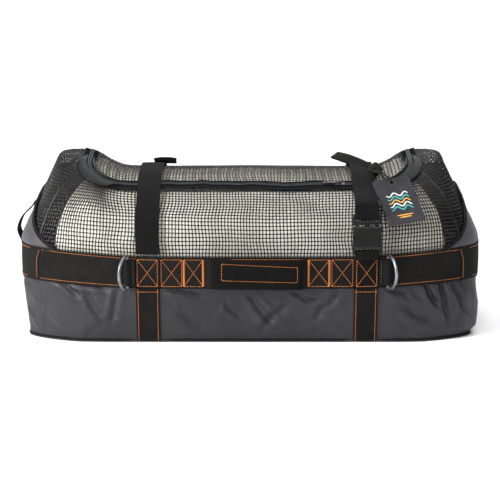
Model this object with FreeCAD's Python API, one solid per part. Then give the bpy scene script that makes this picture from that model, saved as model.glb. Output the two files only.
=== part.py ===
import FreeCAD, Part
import os
import math

# Mesh gear duffel: coated lower tub, open mesh upper, U-shaped zip lid, two compression straps.
# Units are millimetres. +Z up, +X along the length, -Y is the front.
V = FreeCAD.Vector
os.makedirs("parts", exist_ok=True)

# ---- driving dimensions -------------------------------------------------------------
# level outlines of the filled bag: height, half length, half depth, superellipse power
LEVELS = [(0.0, 362.0, 158.0, 8.5), (50.0, 370.0, 166.0, 6.0), (117.0, 379.0, 172.0, 3.9), (142.0, 380.0, 172.0, 3.4),
          (167.0, 371.0, 171.0, 3.4), (186.0, 358.5, 169.0, 3.4), (200.0, 350.0, 163.0, 3.4), (213.0, 342.5, 150.0, 3.5),
          (230.0, 333.0, 125.0, 3.7), (245.0, 325.0, 95.0, 4.0), (257.0, 318.0, 58.0, 4.0), (264.0, 290.0, 3.0, 3.0)]
EAR_LIFT = 0.21           # extra rise of the mesh towards both ends, as a share of the height over the band
EAR_FROM, EAR_TO = 205.0, 280.0
END_RISE = 7.0            # gentle rise of the whole girth towards the ends
BAND_LOW, BAND_MID, BAND_HIGH = 91.0, 118.0, 142.0    # 50.8 mm girth webbing
SKIN = 1.6                # coated fabric and mesh thickness in the solids
WEB = 1.8                 # webbing thickness
STRAP_L = (-182.0, -144.0)    # 38 mm compression straps
STRAP_R = (166.0, 204.0)
ZIP_HALF_LEN, ZIP_HALF_DEP = 264.0, 91.0
ZIP_R_FRONT, ZIP_R_BACK = 30.0, 60.0
ZIP_TAPE = 9.0            # centre line of the zip to the outer edge of its tape
CHAIN = 2.6               # width of one half of the zip chain
GAP = 0.8                 # half the gap between the two chain halves
BASE_T = 3.0              # bottom panel thickness
TAG_LIFT = -8.0           # clearance of the luggage tag over the mesh
LEAN = 5.5                # lean of the side-release buckles, degrees
D_R, D_WIRE = 27.0, 2.6   # D-ring bow radius and half wire thickness
HANDLE_X = (-72.0, 91.0)  # free span of the long-side handles
GRIP_X = (-62.0, 84.0)

TOP = LEVELS[-1][0]


# ---- shape of the filled bag --------------------------------------------------------
def level(z):
    z = max(LEVELS[0][0], min(TOP, z))
    for (z0, a0, b0, n0), (z1, a1, b1, n1) in zip(LEVELS, LEVELS[1:]):
        if z <= z1:
            t = (z - z0) / (z1 - z0)
            return a0 + t * (a1 - a0), b0 + t * (b1 - b0), n0 + t * (n1 - n0)
    return LEVELS[-1][1:]


def inside(x, y, z):
    a, b, n = level(z)
    return (abs(x) / a) ** n + (abs(y) / b) ** n


def lift(x, z):
    t = max(0.0, min(1.0, (abs(x) - EAR_FROM) / (EAR_TO - EAR_FROM)))
    s = t * t * (3 - 2 * t)
    u = max(0.0, min(1.0, (abs(x) - 150.0) / 200.0))
    out = z + END_RISE * u * u * (3 - 2 * u) * min(1.0, z / 142.0)
    if z > 142.0:
        out += (z - 142.0) * EAR_LIFT * s
    return out


def height0(x, y):
    lo, hi = 142.0, TOP
    if inside(x, y, hi) <= 1.0:
        return hi
    for _ in range(40):
        m = 0.5 * (lo + hi)
        if inside(x, y, m) > 1.0:
            hi = m
        else:
            lo = m
    return lo


def top_z(x, y):
    return lift(x, height0(x, y))


def rim(d, n_front=3, n_back=3):
    """Right half of the rounded zip outline moved inwards by d, from front to back: list of (x, y)."""
    L, D = ZIP_HALF_LEN - d, ZIP_HALF_DEP - d
    rf, rb = ZIP_R_FRONT - d, ZIP_R_BACK - d
    pts = []
    for k in range(n_front + 1):
        t = math.radians(90.0 * k / n_front)
        pts.append((L - rf + rf * math.sin(t), -D + rf - rf * math.cos(t)))
    y0, y1 = -D + rf, D - rb
    for k in (1, 2):
        pts.append((L, y0 + (y1 - y0) * k / 3.0))
    for k in range(n_back + 1):
        t = math.radians(90.0 * k / n_back)
        pts.append((L - rb + rb * math.cos(t), D - rb + rb * math.sin(t)))
    return pts


def base_pt(phi):
    a, b, n = level(142.0)
    c, s = math.cos(math.radians(phi)), math.sin(math.radians(phi))
    r = (abs(c) ** n + abs(s) ** n) ** (-1.0 / n)
    return a * r * c, b * r * s


def edge_y(x, z):
    a, b, n = level(z)
    return b * max(0.0, 1.0 - (abs(x) / a) ** n) ** (1.0 / n)


RIM = rim(-ZIP_TAPE - 0.2)
RIM_FRONT_X = RIM[0][0]
RIM_BACK_X = RIM[-1][0]
RIM_Y = RIM[-1][1]
PHI_R = [-47.0, -38.0, -28.0, -14.0, 0.0, 13.0, 29.0, 44.0]
COLS = []     # (inner plan point on the zip rim, outer plan point on the widest outline)
for x in (-182.0, -144.0, -96.0, -48.0, 0.0, 48.0, 91.0, 130.0, 166.0, 204.0, RIM_FRONT_X):
    COLS.append(((x, -RIM_Y), (x, -edge_y(x, 142.0))))
i_right0 = len(COLS) - 1
for q, phi in zip(RIM[1:-1], PHI_R):
    COLS.append((q, base_pt(phi)))
for x in (204.0, 166.0, 130.0, 91.0, 48.0, 0.0, -48.0, -96.0, -144.0, -182.0, -204.0):
    COLS.append(((x, RIM_Y), (x, edge_y(x, 142.0))))
i_left0 = len(COLS)
for q, phi in reversed(list(zip(RIM[1:-1], PHI_R))):
    b = base_pt(phi)
    COLS.append(((-q[0], q[1]), (-b[0], b[1])))
COLS.append(((-RIM_FRONT_X, -RIM_Y), (-RIM_FRONT_X, -edge_y(RIM_FRONT_X, 142.0))))
NC = len(COLS)
F = {x: i for i, x in enumerate((-182.0, -144.0, -96.0, -48.0, 0.0, 48.0, 91.0, 130.0, 166.0, 204.0))}


def zq(i):
    return height0(*COLS[i % NC][0])


def col_pt(i, z):
    (qx, qy), (bx, by) = COLS[i % NC]
    lo, hi = 0.0, 1.06
    for _ in range(40):
        m = 0.5 * (lo + hi)
        if inside(qx + m * (bx - qx), qy + m * (by - qy), z) > 1.0:
            hi = m
        else:
            lo = m
    x, y = qx + lo * (bx - qx), qy + lo * (by - qy)
    return V(x, y, lift(x, z))


def col_n(i, z):
    z1, z0 = min(z + 3, zq(i)), max(z - 3, 0.0)
    du = col_pt(i + 1, min(z, zq(i + 1))) - col_pt(i - 1, min(z, zq(i - 1)))
    dv = col_pt(i, z1) - col_pt(i, z0)
    n = du.cross(dv)
    return n.normalize()


def off_pt(i, z, d):
    return col_pt(i, z) + col_n(i, z) * d


# ---- solids from grids of points ----------------------------------------------------
def solid_from(tris):
    faces = [Part.Face(Part.makePolygon([a, b, c, a])) for a, b, c in tris]
    shell = Part.makeShell(faces)
    s = Part.makeSolid(shell)
    if s.Volume < 0:
        s = Part.makeSolid(shell.reversed())
    if s.Volume < 0:
        s.reverse()
    return s


def sheet(outer, inner, ring=False):
    """Closed solid between two equal grids of points, outer[i][j] and inner[i][j]."""
    n, m = len(outer), len(outer[0])
    tris = []

    def quad(a, b, c, d):
        tris.append((a, b, c))
        tris.append((a, c, d))
    last = n if ring else n - 1
    for i in range(last):
        k = (i + 1) % n
        for j in range(m - 1):
            quad(outer[i][j], outer[k][j], outer[k][j + 1], outer[i][j + 1])
            tris.append((inner[i][j], inner[k][j + 1], inner[k][j]))
            tris.append((inner[i][j], inner[i][j + 1], inner[k][j + 1]))
        quad(inner[i][0], inner[k][0], outer[k][0], outer[i][0])
        quad(outer[i][m - 1], outer[k][m - 1], inner[k][m - 1], inner[i][m - 1])
    if not ring:
        for j in range(m - 1):
            quad(outer[0][j], outer[0][j + 1], inner[0][j + 1], inner[0][j])
            quad(outer[n - 1][j + 1], outer[n - 1][j], inner[n - 1][j], inner[n - 1][j + 1])
    return solid_from(tris)


def trim_edges(g, cols=0.0, first=0.0, last=0.0):
    """Pull the outer rows and columns of a grid in by small distances so neighbours do not touch."""
    n, m = len(g), len(g[0])
    if cols:
        for j in range(m):
            d = g[1][j] - g[0][j]
            g[0][j] = g[0][j] + d * (cols / max(d.Length, 1e-6))
            d = g[n - 2][j] - g[n - 1][j]
            g[n - 1][j] = g[n - 1][j] + d * (cols / max(d.Length, 1e-6))
    for i in range(n):
        if first:
            d = g[i][1] - g[i][0]
            g[i][0] = g[i][0] + d * (first / max(d.Length, 1e-6))
        if last:
            d = g[i][m - 2] - g[i][m - 1]
            g[i][m - 1] = g[i][m - 1] + d * (last / max(d.Length, 1e-6))
    return g


def wall(idx, zrows, d_out, d_in, ring=False, cols=0.0, first=0.0, last=0.0):
    """Fabric wall over columns idx; zrows(i) gives the heights of one column."""
    go = [[off_pt(i, z, d_out) for z in zrows(i)] for i in idx]
    gi = [[off_pt(i, z, d_in) for z in zrows(i)] for i in idx]
    for g in (go, gi):
        trim_edges(g, cols, first, last)
    return sheet(go, gi, ring)


def ribbon(path, x0, x1, t):
    """Flat webbing of thickness t that follows a path of (y, z) points, from x0 to x1."""
    n = len(path)
    left, right = [], []
    for k in range(n):
        a, b = path[max(k - 1, 0)], path[min(k + 1, n - 1)]
        p = path[k]
        if 0 < k < n - 1:
            u = (p[0] - a[0], p[1] - a[1])
            w = (b[0] - p[0], b[1] - p[1])
            lu, lw = math.hypot(*u), math.hypot(*w)
            nu, nw = (-u[1] / lu, u[0] / lu), (-w[1] / lw, w[0] / lw)
            s = (nu[0] + nw[0], nu[1] + nw[1])
            q = 2.0 / (s[0] * s[0] + s[1] * s[1])
            s = (s[0] * q, s[1] * q)
        else:
            u = (b[0] - a[0], b[1] - a[1])
            lu = math.hypot(*u)
            s = (-u[1] / lu, u[0] / lu)
        left.append((p[0] + s[0] * t / 2, p[1] + s[1] * t / 2))
        right.append((p[0] - s[0] * t / 2, p[1] - s[1] * t / 2))
    pts = [V(x0, y, z) for y, z in left + right[::-1]]
    pts.append(pts[0])
    return Part.Face(Part.makePolygon(pts)).extrude(V(x1 - x0, 0, 0))


def box(x0, x1, y0, y1, z0, z1):
    return Part.makeBox(x1 - x0, y1 - y0, z1 - z0, V(x0, y0, z0))


def poly_xz(points, y0, y1):
    pts = [V(x, y0, z) for x, z in points]
    pts.append(pts[0])
    return Part.Face(Part.makePolygon(pts)).extrude(V(0, y1 - y0, 0))


def round_edges(s, r, pick=None):
    edges = [e for e in s.Edges if pick is None or pick(e)]
    try:
        f = s.makeFillet(r, edges)
        if f.isValid() and f.Volume > 0:
            return f
    except Exception:
        pass
    return s


NODES = {}


def add(name, shape):
    if shape.ShapeType == "Compound" and len(shape.Solids) == 1:
        shape = shape.Solids[0]
    NODES[name] = shape
    ok = shape.isValid() and len(shape.Solids) == 1 and shape.Volume > 0
    print(("ok  " if ok else "BAD ") + name, round(shape.Volume / 1000.0, 2), "cm3", len(shape.Faces), "faces", len(shape.Solids))


# ---- lower tub and bottom -----------------------------------------------------------
ring_cols = list(range(NC))
base_poly = [off_pt(i, 1.0, 1.2) for i in ring_cols]
base_poly = [V(p.x, p.y, 0) for p in base_poly]
base_poly.append(base_poly[0])
bottom = Part.Face(Part.makePolygon(base_poly)).extrude(V(0, 0, BASE_T))
for x0, x1 in (STRAP_L, STRAP_R):
    bottom = bottom.cut(box(x0 - 0.3, x1 + 0.3, -200, 200, -1, WEB + 0.15))
    for s in (-1, 1):
        ya = min(edge_y(x0, 0), edge_y(x1, 0)) - 0.6
        bottom = bottom.cut(box(x0 - 0.3, x1 + 0.3, min(s * ya, s * 200), max(s * ya, s * 200), -1, 10))
add("bottom_panel", bottom)
TUB_ROWS = [BASE_T + 0.2, 30.0, 60.0, BAND_LOW, BAND_MID]
add("base_tub", wall(ring_cols, lambda i: TUB_ROWS, 0.0, -SKIN, ring=True))
add("girth_band", wall(ring_cols, lambda i: [BAND_LOW, BAND_MID, BAND_HIGH], 0.3 + WEB, 0.3, ring=True))

# ---- straps sewn down the tub and under the bottom ----------------------------------
for name, (x0, x1) in (("base_strap_left", STRAP_L), ("base_strap_right", STRAP_R)):
    zs = [90.4, 60.0, 30.0, 8.0]

    def wy(z):
        return max(edge_y(x0, z), edge_y(x1, z)) + 0.5 + WEB / 2
    front = [(-wy(z), z) for z in zs] + [(-wy(0) - 0.2, WEB / 2)]
    back = [(-y, z) for y, z in reversed(front)]
    add(name, ribbon(front + back, x0, x1, WEB))

# ---- upper walls --------------------------------------------------------------------
FR = [0.0, 0.16, 0.32, 0.45, 0.56, 0.67, 0.79, 0.90, 1.0]


def upper_rows(i):
    return [BAND_MID + 0.4] + [BAND_HIGH + f * (zq(i) - BAND_HIGH) for f in FR]


front_idx = [(i % NC) for i in range(-3, i_right0 + 3)]
right_idx = list(range(i_right0 + 2, i_right0 + 8))
back_idx = list(range(i_right0 + 7, i_left0 + 2))
left_idx = list(range(i_left0 + 1, NC - 2))
add("mesh_front_panel", wall(front_idx, upper_rows, 0.0, -SKIN, cols=0.25))
add("mesh_back_panel", wall(back_idx, upper_rows, 0.0, -SKIN, cols=0.25))
ARCH = [152.0, 178.0, 206.0, 214.0, 207.0, 176.0]
for side, idx in (("right", right_idx), ("left", left_idx)):
    arch = ARCH if side == "right" else ARCH[::-1]
    top_of = dict(zip(idx, arch))

    def arch_rows(i):
        t = top_of[i]
        return [BAND_MID + 0.4, BAND_HIGH] + [BAND_HIGH + f * (t - BAND_HIGH) for f in (0.35, 0.7, 1.0)]

    def over_rows(i):
        t, q = top_of[i], zq(i)
        return [t + f * (q - t) for f in (0.0, 0.25, 0.5, 0.75, 1.0)]
    add("end_panel_" + side, wall(idx, arch_rows, 0.0, -SKIN, cols=0.25, last=0.25))
    add("end_mesh_" + side, wall(idx, over_rows, 0.0, -SKIN, cols=0.7, first=0.3))

# ---- pale liner behind the mesh -----------------------------------------------------
def liner_rows(i):
    return [60.0, BAND_LOW, BAND_MID] + [BAND_HIGH + f * (zq(i) - BAND_HIGH) for f in FR[:-1]]


add("liner_front", wall(front_idx[1:-1], liner_rows, -5.0, -6.2, cols=1.0))
add("liner_back", wall(back_idx[1:-1], liner_rows, -5.0, -6.2, cols=1.0))


# ---- zip and lid --------------------------------------------------------------------
def top_n(x, y):
    h = 1.0
    gx = (top_z(x + h, y) - top_z(x - h, y)) / (2 * h)
    gy = (top_z(x, y + h) - top_z(x, y - h)) / (2 * h)
    return V(-gx, -gy, 1.0).normalize()


def top_pt(x, y, d):
    return V(x, y, top_z(x, y)) + top_n(x, y) * d


def rim_line(d):
    """Whole U of the zip moved inwards by d, from the right back end round the front to the left back end."""
    half = rim(d, 5, 6)
    right = half[::-1]
    front = [(x, -(ZIP_HALF_DEP - d)) for x in (204, 166, 130, 91, 48, 0, -48, -96, -144, -182, -204)]
    left = [(-x, y) for x, y in half]
    return right + front + left


def zip_strip(d0, d1, up, down):
    a, b = rim_line(d0), rim_line(d1)
    go = [[top_pt(p[0], p[1], up), top_pt(q[0], q[1], up)] for p, q in zip(a, b)]
    gi = [[top_pt(p[0], p[1], down), top_pt(q[0], q[1], down)] for p, q in zip(a, b)]
    return sheet(go, gi)


add("zip_tape_body", zip_strip(-ZIP_TAPE + 2.6, -GAP - CHAIN - 0.4, -2.8, -3.8))
add("zip_chain_body", zip_strip(-GAP - CHAIN, -GAP, 0.9, -1.7))
add("zip_chain_lid", zip_strip(GAP, GAP + CHAIN, 0.9, -1.7))
add("zip_tape_lid", zip_strip(GAP + CHAIN + 0.4, ZIP_TAPE - 1.0, -2.5, -3.5))

inner_rim = rim(ZIP_TAPE + 0.2, 5, 6)


def lid_span(x, d=0.0):
    L, D = ZIP_HALF_LEN - ZIP_TAPE - 0.2 - d, ZIP_HALF_DEP - ZIP_TAPE - 0.2 - d
    rf, rb = ZIP_R_FRONT - ZIP_TAPE - 0.2 - d, ZIP_R_BACK - ZIP_TAPE - 0.2 - d
    ax = min(abs(x), L)
    yf, yb = -D, D
    if ax > L - rf:
        yf = -(D - rf) - math.sqrt(max(0.0, rf * rf - (ax - L + rf) ** 2))
    if ax > L - rb:
        yb = (D - rb) + math.sqrt(max(0.0, rb * rb - (ax - L + rb) ** 2))
    return yf, yb


def lid_sheet(d_edge, up, down, ys=9):
    L = ZIP_HALF_LEN - ZIP_TAPE - 0.2 - d_edge
    xs = [0, 48, 91, 130, 166, 204, 222, L - 12, L - 5, L - 1.2, L]
    xs = [-x for x in (L, L - 1.2, L - 5, L - 12, 222, 204, 182, 144, 96, 48)] + xs
    go, gi = [], []
    for x in xs:
        yf, yb = lid_span(x, d_edge)
        ro, ri = [], []
        for k in range(ys + 1):
            y = yf + (yb - yf) * k / ys
            ro.append(top_pt(x, y, up))
            ri.append(top_pt(x, y, down))
        go.append(ro)
        gi.append(ri)
    return sheet(go, gi)


add("lid_mesh", lid_sheet(0.0, 0.0, -SKIN, 10))
add("lid_liner", lid_sheet(3.0, -5.0, -6.2, 6))
HX = 196.0
for name, y0, y1 in (("hinge_binding_body", ZIP_HALF_DEP + 1.2, RIM_Y - 0.6), ("hinge_binding_lid", ZIP_HALF_DEP - ZIP_TAPE + 0.3, ZIP_HALF_DEP - 1.2)):
    xs = [-HX, -182, -144, -96, -48, 0, 48, 91, 130, 166, HX]
    go = [[top_pt(x, y, 0.4) for y in (y0, y1)] for x in xs]
    gi = [[top_pt(x, y, -1.4) for y in (y0, y1)] for x in xs]
    NODES[name] = None
    add(name, sheet(go, gi))


# ---- side-release buckles -----------------------------------------------------------
def place(s, xc, y0, z0, rear=False):
    s = s.copy()
    s.rotate(V(0, 0, 0), V(1, 0, 0), -LEAN)
    if rear:
        s.rotate(V(0, 0, 0), V(0, 0, 1), 180)
    s.translate(V(xc, -y0 if rear else y0, z0))
    return s


def buckle_female():
    body = box(-23, 23, -5.5, 5.5, 7, 42.5)
    body = round_edges(body, 2.4)
    cheeks = box(-23, -19.6, -3.2, 3.2, -2.6, 9).fuse(box(19.6, 23, -3.2, 3.2, -2.6, 9))
    bar = Part.makeCylinder(2.4, 45.0, V(-22.5, 0, 0), V(1, 0, 0))
    s = body.fuse(cheeks).fuse(bar)
    s = s.cut(box(-19.5, 19.5, -3.2, 3.2, 11, 50))
    s = s.cut(box(-30, 30, -3.4, 3.4, 16, 36))
    # scooped thumb windows on both faces beside the release arms
    for sx in (-1, 1):
        s = s.cut(Part.makeCylinder(8.0, 30.0, V(sx * 27.5, -15, 26), V(0, 1, 0)))
    # raised rib on the front face
    s = s.fuse(box(-9, 9, -6.2, -5.3, 12, 14)).fuse(box(-9, 9, -6.2, -5.3, 38, 40))
    return s.removeSplitter()


def buckle_male():
    s = round_edges(box(-23, 23, -2.8, 2.8, 45.2, 62.2), 1.3)
    s = s.cut(box(-19.5, 19.5, -5, 5, 50.4, 56.6))
    s = s.fuse(box(-5, 5, -2.2, 2.2, 14, 46.5))
    return s.removeSplitter()


ARM = [(12.6, 44.8), (17.3, 44.8), (17.3, 37.0), (19.2, 35.4), (22.0, 33.6), (22.6, 31.0), (22.8, 26.0), (22.6, 21.0), (22.0, 18.4),
       (19.2, 16.6), (17.0, 15.0), (14.6, 15.0), (14.6, 34.0), (12.6, 38.0)]


def buckle_arm(s):
    return poly_xz([(s * x, z) for x, z in ARM], -2.5, 2.5)


BX_R, BX_L = 185.0, -163.0
BAR_Y = -181.5            # centre of the female anchor bar in front of the wall
BAR_Z = 150.5
for name, xc, rear in (("right", BX_R, False), ("left", BX_L, True)):
    add("buckle_female_" + name, place(buckle_female(), xc, BAR_Y, BAR_Z, rear))
    add("buckle_male_" + name, place(buckle_male(), xc, BAR_Y, BAR_Z, rear))
    for arm, s in (("a", -1), ("b", 1)):
        add("buckle_release_%s_%s" % (name, arm), place(buckle_arm(s), xc, BAR_Y, BAR_Z, rear))


def leaned(y, z):
    """Buckle coordinates to bag coordinates for the front buckle."""
    t = math.radians(-LEAN)
    return (BAR_Y + y * math.cos(t) - z * math.sin(t), BAR_Z + y * math.sin(t) + z * math.cos(t))


# webbing that is sewn over the band and holds the female half
for name, (x0, x1), sgn in (("strap_anchor_right", STRAP_R, 1), ("strap_anchor_left", STRAP_L, -1)):
    yb = -(max(edge_y(x0, 142), edge_y(x1, 142), edge_y(x0, 118), edge_y(x1, 118), edge_y(x0, 104), edge_y(x1, 104)) + 0.3 + WEB + 0.75 + WEB / 2)
    p = [(yb, 93.0), (yb, 141.0), (-178.0, 146.0)]
    p += [leaned(*q) for q in ((4.3, 0.0), (3.0, 3.3), (0.0, 4.6), (-3.0, 3.3), (-4.3, 0.0))]
    p += [(-184.4, 144.5), (yb - WEB - 0.5, 138.0), (yb - WEB - 0.5, 112.0)]
    p = [(y * sgn, z) for y, z in p]
    add(name, ribbon(p, x0, x1, WEB))

# ends of the compression straps sewn flat on the band
for name, (x0, x1), sgn in (("strap_patch_left", STRAP_L, 1), ("strap_patch_right", STRAP_R, -1)):
    yb = -(max(edge_y(x0, 142), edge_y(x1, 142), edge_y(x0, 118), edge_y(x1, 118), edge_y(x0, 104), edge_y(x1, 104)) + 0.3 + WEB + 0.75 + WEB / 2)
    add(name, ribbon([(yb * sgn, 93.0), (yb * sgn, 142.5)], x0, x1, WEB))

# compression straps over the lid
for name, (x0, x1), sgn in (("compression_strap_right", STRAP_R, 1), ("compression_strap_left", STRAP_L, -1)):
    def skin(y):
        return max(top_z(x0, y), top_z(x1, y))
    p = [leaned(*q) for q in ((-4.6, 74.0), (-4.4, 62.0), (-4.4, 56.4), (-3.2, 53.7), (3.2, 53.7), (4.4, 56.4), (4.4, 62.5), (3.2, 68.0))]
    p += [(y, skin(y) + 4.3) for y in (-97.0, -84.0, -70.0, -50.0, -28.0, 0.0, 28.0, 50.0, 70.0, 88.0)]
    p += [(y, skin(y) + 4.6) for y in (104.0, 118.0, 132.0)]
    p += [(max(edge_y(x0, z), edge_y(x1, z)) + dy, z) for z, dy in ((218.0, 5.0), (208.0, 4.9), (198.0, 4.6), (186.0, 4.2), (170.0, 3.8), (158.0, 3.6), (147.5, 3.6))]
    p = [(y * sgn, z) for y, z in p]
    add(name, ribbon(p, x0, x1, WEB))


# ---- handles ------------------------------------------------------------------------
def band_web(x0, x1, sgn, extra=0.0, z0=93.0, z1=140.5):
    """Webbing layer lying on the girth band between x0 and x1."""
    xs = [x0] + [c for c in sorted(F) if x0 + 4 < c < x1 - 4] + [x1]
    d = 0.3 + WEB + 0.5 + extra
    go, gi = [], []
    for x in xs:
        rows_o, rows_i = [], []
        for z in (z0, BAND_MID, z1):
            # follow the flat facets of the band
            rows_o.append(facet_pt(x, z, d + WEB, sgn))
            rows_i.append(facet_pt(x, z, d, sgn))
        go.append(rows_o)
        gi.append(rows_i)
    return sheet(go, gi)


def facet_pt(x, z, d, sgn):
    ks = sorted(F)
    k0 = max([k for k in ks if k <= x + 1e-6] or [ks[0]])
    k1 = min([k for k in ks if k >= x - 1e-6] or [RIM_FRONT_X])
    t = 0.0 if k1 == k0 else (x - k0) / (k1 - k0)
    y = (1 - t) * edge_y(k0, z) + t * edge_y(k1, z)
    zz = (1 - t) * lift(k0, z) + t * lift(k1, z)
    return V(x, sgn * (y + d), zz)


for side, sgn in (("front", -1), ("back", 1)):
    add("handle_patch_%s_left" % side, band_web(STRAP_L[1] + 0.6, HANDLE_X[0], sgn))
    add("handle_patch_%s_right" % side, band_web(HANDLE_X[1], STRAP_R[0] - 0.6, sgn))
    yw = 172.0 + 0.3 + WEB + 0.6 + WEB / 2
    # free webbing of the handle and its wrapped grip
    mid = [(GRIP_X[0] + 2, yw + 5.2), (GRIP_X[0] + 12, yw + 6.6), (-15.0, yw + 8.4), (11.0, yw + 8.6), (37.0, yw + 8.4), (GRIP_X[1] - 12, yw + 6.6), (GRIP_X[1] - 2, yw + 5.2)]
    pts = [(HANDLE_X[0] + 0.5, yw - 0.6), (GRIP_X[0] - 5, yw + 1.2)] + mid + [(GRIP_X[1] + 2, yw + 1.2), (HANDLE_X[1] - 0.5, yw - 0.6)]

    def bow(t, z0, z1, pts=pts, sgn=sgn):
        o = [V(x, sgn * (y + t / 2), 0) for x, y in pts]
        i = [V(x, sgn * (y - t / 2), 0) for x, y in pts]
        loop = o + i[::-1]
        loop = [V(p.x, p.y, z0) for p in loop]
        loop.append(loop[0])
        return Part.Face(Part.makePolygon(loop)).extrude(V(0, 0, z1 - z0))
    web = bow(WEB, 93.5, 140.0)
    gp = mid
    for nm, ta, tb in (("grip", 5.2, 0.0),):
        o = [V(x, sgn * (y + ta), 92.5) for x, y in gp]
        i = [V(x, sgn * (y - ta + 1.2), 92.5) for x, y in gp]
        loop = o + i[::-1]
        loop.append(loop[0])
        grip = Part.Face(Part.makePolygon(loop)).extrude(V(0, 0, 48.6))
        grip = round_edges(grip, 2.0, lambda e: abs(e.BoundBox.ZLength) < 1e-3 and e.BoundBox.XLength > 5)
        hole = bow(WEB + 0.3, 93.3, 140.2)
        grip = grip.cut(hole)
    add("handle_web_" + side, web)
    add("handle_grip_" + side, grip)

# end grab handle on the left end
eh = []
for z, d in ((108.0, 3.6), (140.0, 3.9), (149.0, 8.0), (160.0, 12.5), (171.0, 13.5), (182.0, 12.0), (191.0, 8.0), (198.0, 3.8), (208.0, 3.6)):
    zn = z if z <= 142 else 142.0 + (z - 142.0 - END_RISE) / (1.0 + EAR_LIFT)
    a = level(zn)[0]
    eh.append((-(a + d), z))
pts = []
lft, rgt = [], []
for k, (x, z) in enumerate(eh):
    a, b = eh[max(k - 1, 0)], eh[min(k + 1, len(eh) - 1)]
    ux, uz = b[0] - a[0], b[1] - a[1]
    l = math.hypot(ux, uz)
    lft.append((x - uz / l * WEB, z + ux / l * WEB))
    rgt.append((x + uz / l * 0.0, z - ux / l * 0.0))
loop = [V(x, -19, z) for x, z in lft + rgt[::-1]]
loop.append(loop[0])
add("end_handle", Part.Face(Part.makePolygon(loop)).extrude(V(0, 38, 0)))

# ---- D-rings and their tabs ---------------------------------------------------------
D_POS = {"front_left": (-195.0, -1, 205.0), "front_right": (219.5, -1, -25.0), "back_left": (-195.0, 1, 155.0), "back_right": (219.5, 1, 25.0)}
for name, (xb, sgn, ang) in D_POS.items():
    yb = sgn * (edge_y(abs(xb) - 4.0, 130.0) + 0.3 + WEB + 4.9 + 0.9)
    zc = 117.0 + lift(xb, 117.0) - 117.0
    ring = Part.makeTorus(D_R, D_WIRE, V(0, 0, 0), V(0, 0, 1), -180, 180, 180)
    # torus lies in XY with the bow on +Y; stand it up so the bow points along +X
    ring.rotate(V(0, 0, 0), V(0, 0, 1), -90)
    ring.rotate(V(0, 0, 0), V(1, 0, 0), 90)
    bar = Part.makeCylinder(D_WIRE, 2 * D_R, V(0, 0, -D_R), V(0, 0, 1))
    ring = ring.fuse([bar, Part.makeSphere(D_WIRE, V(0, 0, -D_R)), Part.makeSphere(D_WIRE, V(0, 0, D_R))])
    # direction of the bow in plan: mostly outwards, swung a little towards the bag end
    out = math.degrees(math.atan2(sgn, 0.0))
    turn = 24.0 if (xb < 0) == (sgn > 0) else -24.0
    ring.rotate(V(0, 0, 0), V(0, 0, 1), out + turn)
    ring.translate(V(xb, yb, zc))
    add("d_ring_" + name, ring)
    # webbing tab: from the band around the bar and back
    s = 1.0 if xb > 0 else -1.0
    xi = xb - s * 9.5
    r = D_WIRE + 0.7 + 0.7
    ywall = sgn * (edge_y(abs(xi) + 3.0, 117.0) + 0.3 + WEB + 1.6 + 0.7)
    path = [(xb - s * (14.2 if xb > 0 else 12.4), ywall), (xi, ywall)]
    for k in range(9):
        t = math.radians(-100.0 + 225.0 * k / 8)
        path.append((xb + s * r * math.cos(t), yb + sgn * r * math.sin(t)))
    path.append((xi + s * 1.0, ywall + sgn * (1.4 + 0.6)))
    path.append((xb - s * (14.2 if xb > 0 else 12.4), ywall + sgn * (1.4 + 0.6)))
    n = len(path)
    lft, rgt = [], []
    for k, p in enumerate(path):
        a, b = path[max(k - 1, 0)], path[min(k + 1, n - 1)]
        u = (b[0] - a[0], b[1] - a[1])
        l = math.hypot(*u)
        nx, ny = -u[1] / l, u[0] / l
        lft.append((p[0] + nx * 0.7, p[1] + ny * 0.7))
        rgt.append((p[0] - nx * 0.7, p[1] - ny * 0.7))
    loop = [V(x, y, zc - 22.0) for x, y in lft + rgt[::-1]]
    loop.append(loop[0])
    add("d_ring_tab_" + name, Part.Face(Part.makePolygon(loop)).extrude(V(0, 0, 44.0)))

# ---- zip slider and pull ------------------------------------------------------------
SL_X = 146.0
zs = top_z(SL_X, -ZIP_HALF_DEP)
nrm = top_n(SL_X, -ZIP_HALF_DEP)
tilt = math.degrees(math.atan2(-nrm.y, nrm.z))


def zplace(s):
    s = s.copy()
    s.rotate(V(0, 0, 0), V(1, 0, 0), tilt)
    s.translate(V(SL_X, -ZIP_HALF_DEP, zs))
    return s


sl = round_edges(box(-8, 8, -4.6, 4.6, 1.7, 3.1), 0.6)
sl = sl.fuse(box(-6, 4, -0.3, 0.3, -4.6, 2.0))
sl = sl.fuse(box(-2.0, 3.0, -2.4, -1.5, 2.6, 6.4)).fuse(box(-2.0, 3.0, 1.5, 2.4, 2.6, 6.4))
sl = sl.cut(Part.makeCylinder(0.9, 8, V(0.5, -4, 4.9), V(0, 1, 0)))
add("zip_slider", zplace(sl.removeSplitter()))
pull = poly_xz([(-0.6, 4.0), (-0.6, 5.9), (-24.0, 5.4), (-27.0, 4.9), (-27.0, 3.9), (-24.0, 3.7), (-10, 3.7)], -3.0, 3.0)
pull = pull.cut(box(-6.4, 4, -4, -1.2, 0, 9)).cut(box(-6.4, 4, 1.2, 4, 0, 9))
pull = pull.fuse(Part.makeCylinder(0.8, 2.4 * 2 + 0.6, V(0.5, -2.7, 4.9), V(0, 1, 0))).fuse(box(-1.5, 0.9, -1.1, 1.1, 4.2, 5.6))
pull = pull.cut(Part.makeCylinder(1.6, 8, V(-21.5, 0, 0), V(0, 0, 1)))
add("zip_pull", zplace(pull.removeSplitter()))

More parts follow.
